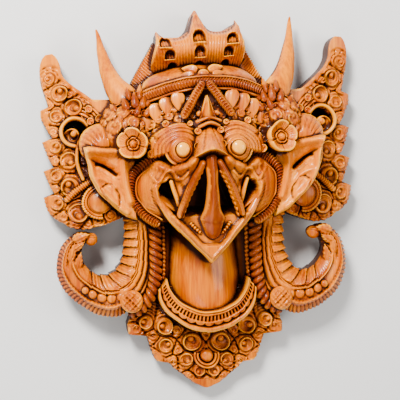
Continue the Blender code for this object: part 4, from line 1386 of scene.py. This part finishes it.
    def dome_shell(self) -> Shell:
        """The ribbed dome above the ear, on rings from its top to its foot."""
        a = full_turn(110)
        q = np.sin(np.linspace(0.02, 1, 40) * np.pi / 2)[:, None]
        x, y = 98 + 21.5 * q * np.cos(a), 61 + 20 * q * np.sin(a)
        top = np.stack([x, y, 50 + 21 * cap(q) - 1.5 * self.fan(x, y) * step(q, 0.2, 0.35)], -1)
        foot = np.stack([x[-1:], y[-1:], 0 * x[-1:] + 20], -1)
        return skin(np.concatenate([top, foot]))


@dataclass
class Neck:
    """The plain neck with its collar, and the braided strips beside it."""

    rings: tuple = (
        (12, 31, 40), (-10, 33, 42), (-50, 36, 52), (-80, 38.5, 56), (-104, 35, 54), (-116, 26, 44),
    )
    collar: tuple = (
        (40, -74, 48.5, -86), (37.5, -83, 47.5, -96), (33, -91, 43, -105.5), (25, -98.5, 34, -114.5),
        (13, -104, 18, -124), (0, -106, 0, -128),
    )
    collar_rows: int = 380
    slots: int = 36
    scallops: int = 15
    strip: tuple = (
        (50, -14, 48), (49, -40, 48), (49.5, -66, 45), (54, -88, 41), (64, -104, 35), (76, -112, 28),
    )
    backing: tuple = ((44, -12, 16), (44, -50, 16), (46, -80, 16), (52, -100, 15))

    def ring(self, a: Array) -> Array:
        """The neck's rings: half an ellipse in front, and a flat back that leaves the hollow clear."""
        rows = even(self.rings, 90)
        y, width, depth = (rows[:, i : i + 1] for i in range(3))
        lift = 0.3 + 38 * step(y, -26, -14)
        x = width * np.cos(a)
        z = np.where(np.sin(a) > 0, np.maximum(depth * np.abs(np.sin(a)) ** 0.85, lift), lift)
        z = z - 0.5 * hump(x, 9, 0.8) * (np.sin(a) > 0)
        return np.stack([x, y + 0 * a, z], -1)

    def collar_band(self) -> Shell:
        """The collar: a double lip, a row of slots, a row of round tongues and a plain outer roll."""
        right = np.array([(ix, iy, 0, ox, oy) for ix, iy, ox, oy in self.collar], float)
        left = (right * (-1, 1, 1, -1, 1))[:-1]
        rows = even(np.vstack([left, right[::-1]]), self.collar_rows)
        u = np.linspace(0, 1, self.collar_rows)[:, None]
        x, y, v = between(rows[:, :2], rows[:, 3:5], 54)
        tongue = np.abs(np.sin(np.pi * self.scallops * u)) ** 0.45
        z = 56.5 - 7.0 * v + 2.0 * np.sin(np.pi * u)
        z += 2.6 * hump(v, 0.06, 0.045) + 1.4 * hump(v, 0.18, 0.035) + 1.3 * hump(v, 0.37, 0.2)
        z -= 4.2 * cuts(self.slots * u, 3) * window(v, (0.22, 0.27), (0.46, 0.5))
        edge = 0.54 + 0.16 * tongue
        z += 1.6 * window(v, (0.5, 0.53), (edge - 0.02, edge + 0.01))
        z -= 2.2 * window(v, (edge - 0.01, edge + 0.02), (0.74, 0.77))
        z += 3.8 * cap((v - 0.875) / 0.13)
        z -= 3.5 * (1 - step(v, 0.0, 0.03)) + 4.0 * step(v, 0.985, 1.0)
        return slab(x, y, z, 20.0, 5)

    def build(self, bench: Bench) -> None:
        """Shape the neck, the collar and the strips."""
        bench.add("neck", [skin(self.ring(full_turn(90)))], POLISHED)
        bench.add("collar", [self.collar_band()], CARVED)
        inner = np.array(self.strip[:4], float) + (-7.5, 0, -4)
        strips = [
            sweep(self.strip, (6, 6.4, 6.4, 6.4, 6, 4), (7, 7, 7, 7, 7, 5), braid(7.0, 0.4), 240, 26),
            sweep(self.backing, 14, 14, along=40, around=14),
            sweep(inner, 2.4, 4.0, ribs(4.2, 0.4, 0.3), along=130, around=10),
        ]
        bench.add("side_strips", both(strips), DARK)


@dataclass
class Limbs:
    """The scrolled limbs that hang from the cheeks and curl up outside.

    Each is a carved band between an outer and an inner edge, which run side by side: across from
    the inner edge lie hatched belly plates, a rail, a row of discs, a second rail and a comb.
    """

    keys: tuple = (
        (53, -8, 80, -8, 56, 30), (52, -22, 78.5, -20, 53, 24), (50.5, -38, 78.5, -33, 50, 19),
        (50.5, -55, 80, -46, 48, 12), (53, -72, 83, -57, 47, 5), (59, -88, 88, -65, 46, 0.4),
        (71, -103, 94, -69.5, 45, 0.4), (88, -113, 100.5, -70.5, 44, 0.4), (106, -110.5, 107.5, -69, 43, 0.4),
        (122, -102, 113, -65, 42, 1.5), (135.5, -90, 118, -59, 40, 5), (144, -74, 120.5, -52, 38, 9),
        (145, -58, 120, -45.5, 37, 12), (141.5, -43, 118, -40.5, 37, 13), (134, -33, 114.5, -37.5, 38, 16),
        (125.5, -27, 110.5, -36, 39, 19), (116, -26, 107.5, -35, 39, 22), (109, -28.5, 105.5, -33, 38, 24),
    )
    beads: tuple = (
        (118.3, -84.4, 3.6), (111.2, -88.4, 4.2), (102.6, -91.8, 4.6), (93, -92.6, 4.8), (83, -92.2, 5.0),
    )
    outer_leaves: tuple = ((126, -66, 32, 121, -46, 37), (132, -56, 33, 127, -36, 38))
    end_leaves: tuple = ((128, -34, 36, 112, -28.5, 41, 10), (130, -44, 34, 117, -36, 40, 8))
    plate: float = 8.4
    along: int = 334
    across: int = 76

    @staticmethod
    def lengths(edge: Array) -> Array:
        """The length along an edge at each of its points, as a column."""
        return np.concatenate([[0], np.cumsum(np.linalg.norm(np.diff(edge, axis=0), axis=1))])[:, None]

    def surface(self, u: Array, v: Array, top: Array, inner: Array, outer: Array) -> Array:
        """Height of the band over the share u of its length and v of its width.

        It is arched across and carved with plates, flutes, rails and the comb. inner and outer
        are the lengths along its edges.
        """
        z = top - 10.5 * np.abs(2 * v - 1) ** 2.4
        belly = 0.45 - 0.16 * step(u, 0.3, 0.55)
        plate = np.mod(inner / self.plate + 0.5 * v, 1)
        before_end = 1 - step(u, 0.56, 0.62)
        on = (1 - step(v, belly - 0.03, belly)) * before_end
        fine = cuts((inner + 9 * v**1.6) / 2.8, 2)
        z += on * (3.6 * plate**1.5 - 1.4 - 0.9 * fine)
        z -= 2.4 * hump(v, belly + 0.02, 0.018) * before_end
        flute = window(u, (0.03, 0.1), (0.3, 0.4))
        spread = (v - belly - 0.05) / (0.38 + 0.1 * u)
        z -= 3.4 * cuts(2.4 * spread, 4) * flute * window(spread, (0, 0.05), (0.95, 1.0))
        turn = window(u, (0.38, 0.44), (0.70, 0.78))
        z += 3.0 * hump(v, belly + 0.06, 0.028) * turn
        z -= 2.4 * window(v, (belly + 0.09, belly + 0.13), (0.68, 0.72)) * turn
        z += 2.6 * hump(v, 0.75, 0.035) * step(u, 0.36, 0.42)
        comb = step(v, 0.79, 0.82) * step(u, 0.36, 0.4)
        z -= 2.4 * comb * cuts((outer - 14 * v) / 4.4, 3)
        curl = window(u, (0.72, 0.77), (0.9, 0.94))
        z -= 2.6 * hump(v, 0.55, 0.05) * curl
        return z + 1.2 * np.cos(2 * np.pi * (inner / 5.5 + 1.4 * v)) * curl * (1 - step(v, 0.38, 0.46))

    def band(self) -> Shell:
        """The carved band, its inner edge swelling with the plates and its outer edge toothed."""
        keys = np.array(self.keys, float)
        rows = even(np.column_stack([keys[:, :2], 0 * keys[:, 0], keys[:, 2:]]), self.along)
        outer, inner, top, back = rows[:, :2], rows[:, 3:5], rows[:, 5:6], rows[:, 6:7]
        way = outer - inner
        way /= np.linalg.norm(way, axis=1)[:, None]
        u = np.linspace(0, 1, self.along)[:, None]
        far, near = self.lengths(outer), self.lengths(inner)
        outer = outer - way * 0.8 * cuts((far - 14) / 4.4, 2) * step(u, 0.36, 0.4)
        inner = inner - way * 2.2 * (np.mod(near / self.plate, 1) ** 0.6 - 0.6) * (1 - step(u, 0.56, 0.62))
        x, y, v = between(inner, outer, self.across)
        return slab(x, y, self.surface(u, v, top, near, far), back, 7, 0.05)

    def build(self, bench: Bench) -> None:
        """Carve one limb, add its ornaments, and set both on their sides."""
        shells = [self.band()]
        for x, y, r in self.beads:
            shells.append(button((x, y, 42.5), r, dome(r, 2.6), 7.0, rings=9, around=22))
        shells.append(button((74, -96.5, 43), 11.4, self.boss, 10.0, rings=30, around=70))
        for row in self.outer_leaves:
            shells.append(leaf(row[:3], row[3:], 8, 8, 0.8, 0.7, 40, 28))
        shells.append(button((110.8, -34, 32), 6.6, dome(6.6, 6.5), 12.0, rings=14, around=32))
        for row in self.end_leaves:
            shells.append(leaf(row[:3], row[3:6], row[6], 8, 0.9, 0.8, 40, 28))
        bench.add("right_limb", shells, CARVED)
        bench.add("left_limb", on_left(shells), CARVED)

    @staticmethod
    def boss(q: Array, a: Array) -> Array:
        """A floral boss: four petals cut in checks, with a rim."""
        petals = 2.4 * np.abs(np.cos(2 * a)) ** 0.5 * np.sin(np.pi * np.clip(q, 0, 1))
        checks = 1.3 * np.cos(13 * q * np.cos(a) + 1) * np.cos(13 * q * np.sin(a) - 1)
        return 1.0 + 3.4 * cap(q) + petals + checks * (1 - step(q, 0.75, 0.95))


@dataclass
class Apron:
    """The pointed leaf below the collar, covered with scrolls round a middle bead."""

    half_widths: tuple = (
        (-84, 40), (-100, 62), (-112, 74), (-122, 78), (-131.5, 77), (-134, 59), (-140, 57), (-147, 55.5),
        (-155, 53), (-160.5, 50), (-161.5, 38), (-166, 34), (-171, 28.5), (-178, 20), (-184, 12),
        (-187.5, 4), (-188.4, 0.6),
    )
    scrolls: tuple = (
        (41, -124, 8.6), (14.5, -140, 9.4), (40.5, -144, 7.2), (20.5, -158.5, 6.8), (7.5, -170, 5.8),
        (60, -119, 7.0),
        (69, -126, 4.6), (51, -155, 3.6), (29, -128, 4.2), (28, -148, 3.6), (0, -133, 4.0), (33, -161, 3.4),
        (53, -134, 3.8), (71, -112, 4.0), (0, -180, 3.4), (15, -177, 3.0),
    )
    rise: float = 44.0
    fall: float = 0.14
    bead: tuple = (0.0, -155.0, 6.2)

    def build(self, bench: Bench) -> None:
        """Carve the leaf on rows from the collar to its point."""
        table = np.array(self.half_widths, float)
        upper, lower = np.linspace(-84, -130, 65, endpoint=False), np.linspace(-130, -188.4, 115)
        y = np.concatenate([upper, lower])[:, None]
        half = np.interp(-y[:, 0], -table[:, 0], table[:, 1])[:, None]
        half = half - 0.9 * np.abs(np.sin(y * 0.62)) ** 3 * step(-y, 134, 150)
        xi = np.linspace(-1, 1, 196)[None, :]
        x, y = half * xi, y + 0 * xi
        work = [Scroll(*scroll, Winding.RIGHT, 1.3 * n) for n, scroll in enumerate(self.scrolls)]
        near = np.minimum(half * (1 - np.abs(xi)), y + 190.5)
        plain = np.clip(1.8 * bump(np.abs(x), y, (50, -157), (7, 5), 1) + step(-y, 176, 181), 0, 1)
        plain = np.maximum(plain, np.clip(1.8 * bump(np.abs(x), y, (76, -130), (6, 4), 1), 0, 1))
        z = self.rise + self.fall * y - 2.2 * (1 - step(near, 0, 2.0))
        z += SCROLL_HEIGHT * scrollwork(np.abs(x), y, work) * (1 - plain)
        x0, y0, r = self.bead
        bead = button((x0, y0, self.rise + self.fall * y0 + 1), r, dome(r, 4.6), 6.0, rings=12, around=30)
        arcs = [
            sweep(arc((0, y0), reach, 160, 380, 22.8, 24), 1.3, 3.0, along=40, around=8)
            for reach in (9.0, 12.0)
        ]
        bench.add("apron", [slab(x, y, z, 0.5, 6), bead, *arcs], CARVED)


@dataclass
class Studio:
    """A plain pale floor, soft light and the camera."""

    location: tuple = (-0.15462, 0.03886, 1.17745)
    right: tuple = (0.99045, -0.03574, 0.13313)
    up: tuple = (0.03976, 0.99883, -0.02767)
    back: tuple = (-0.13199, 0.0327, 0.99071)
    lens: float = 105.4
    lights: tuple = (
        ("key_light", (-0.45, 0.8, 1.05), 0.34, 31.0), ("fill_light", (0.95, 0.1, 0.9), 0.8, 7.0),
        ("low_light", (-0.5, -0.8, 0.8), 0.9, 6.0),
    )
    floor_half: float = 3.0
    floor_colour: tuple = (0.78, 0.76, 0.73, 1)
    floor_roughness: float = 0.8
    sky_colour: tuple = (0.95, 0.97, 1.0, 1)
    sky_strength: float = 0.29
    sensor: float = 36.0
    look: str = "AgX - Medium High Contrast"

    def build(self) -> None:
        """Lay the floor, hang the lights and set the camera."""
        mesh = bpy.data.meshes.new("floor")
        r = self.floor_half
        mesh.from_pydata([(-r, -r, 0), (r, -r, 0), (r, r, 0), (-r, r, 0)], [], [(0, 1, 2, 3)])
        floor = bpy.data.objects.new("floor", mesh)
        bpy.context.scene.collection.objects.link(floor)
        paint = bpy.data.materials.new("pale_floor")
        paint.use_nodes = True
        shader = paint.node_tree.nodes["Principled BSDF"]
        shader.inputs["Base Color"].default_value = self.floor_colour
        shader.inputs["Roughness"].default_value = self.floor_roughness
        mesh.materials.append(paint)
        for name, place, size, power in self.lights:
            lamp = bpy.data.lights.new(name, "AREA")
            lamp.size = size
            lamp.energy = power
            light = bpy.data.objects.new(name, lamp)
            light.location = place
            light.rotation_euler = (-Vector(place)).to_track_quat("-Z", "Y").to_euler()
            bpy.context.scene.collection.objects.link(light)
        bpy.context.scene.view_settings.look = self.look
        world = bpy.data.worlds.new("studio")
        world.use_nodes = True
        sky = world.node_tree.nodes["Background"]
        sky.inputs["Color"].default_value = self.sky_colour
        sky.inputs["Strength"].default_value = self.sky_strength
        bpy.context.scene.world = world
        lens = bpy.data.cameras.new("camera")
        lens.lens = self.lens
        lens.sensor_width = self.sensor
        camera = bpy.data.objects.new("camera", lens)
        axes = Matrix((self.right, self.up, self.back)).transposed().to_4x4()
        camera.matrix_world = Matrix.Translation(Vector(self.location)) @ axes
        bpy.context.scene.collection.objects.link(camera)
        bpy.context.scene.camera = camera


def corners(bounds: object) -> list:
    """A box as plain lists of numbers."""
    return [[float(n) for n in corner] for corner in bounds]


def main() -> None:
    """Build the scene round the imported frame."""
    logging.basicConfig(level=logging.INFO, format="%(name)s: %(message)s")
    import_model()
    groups = {"grain": ShadeKit.grain(), "patina_and_painted_light": ShadeKit.patina_and_painted_light()}
    bench = Bench()
    for kind in (Head, Eyes, Beak, Ears, Crest, Headband, Horns, Wings, Neck, Limbs, Apron):
        kind().build(bench)
    bench.finish(groups)
    Studio().build()


if __name__ == "__main__":
    main()
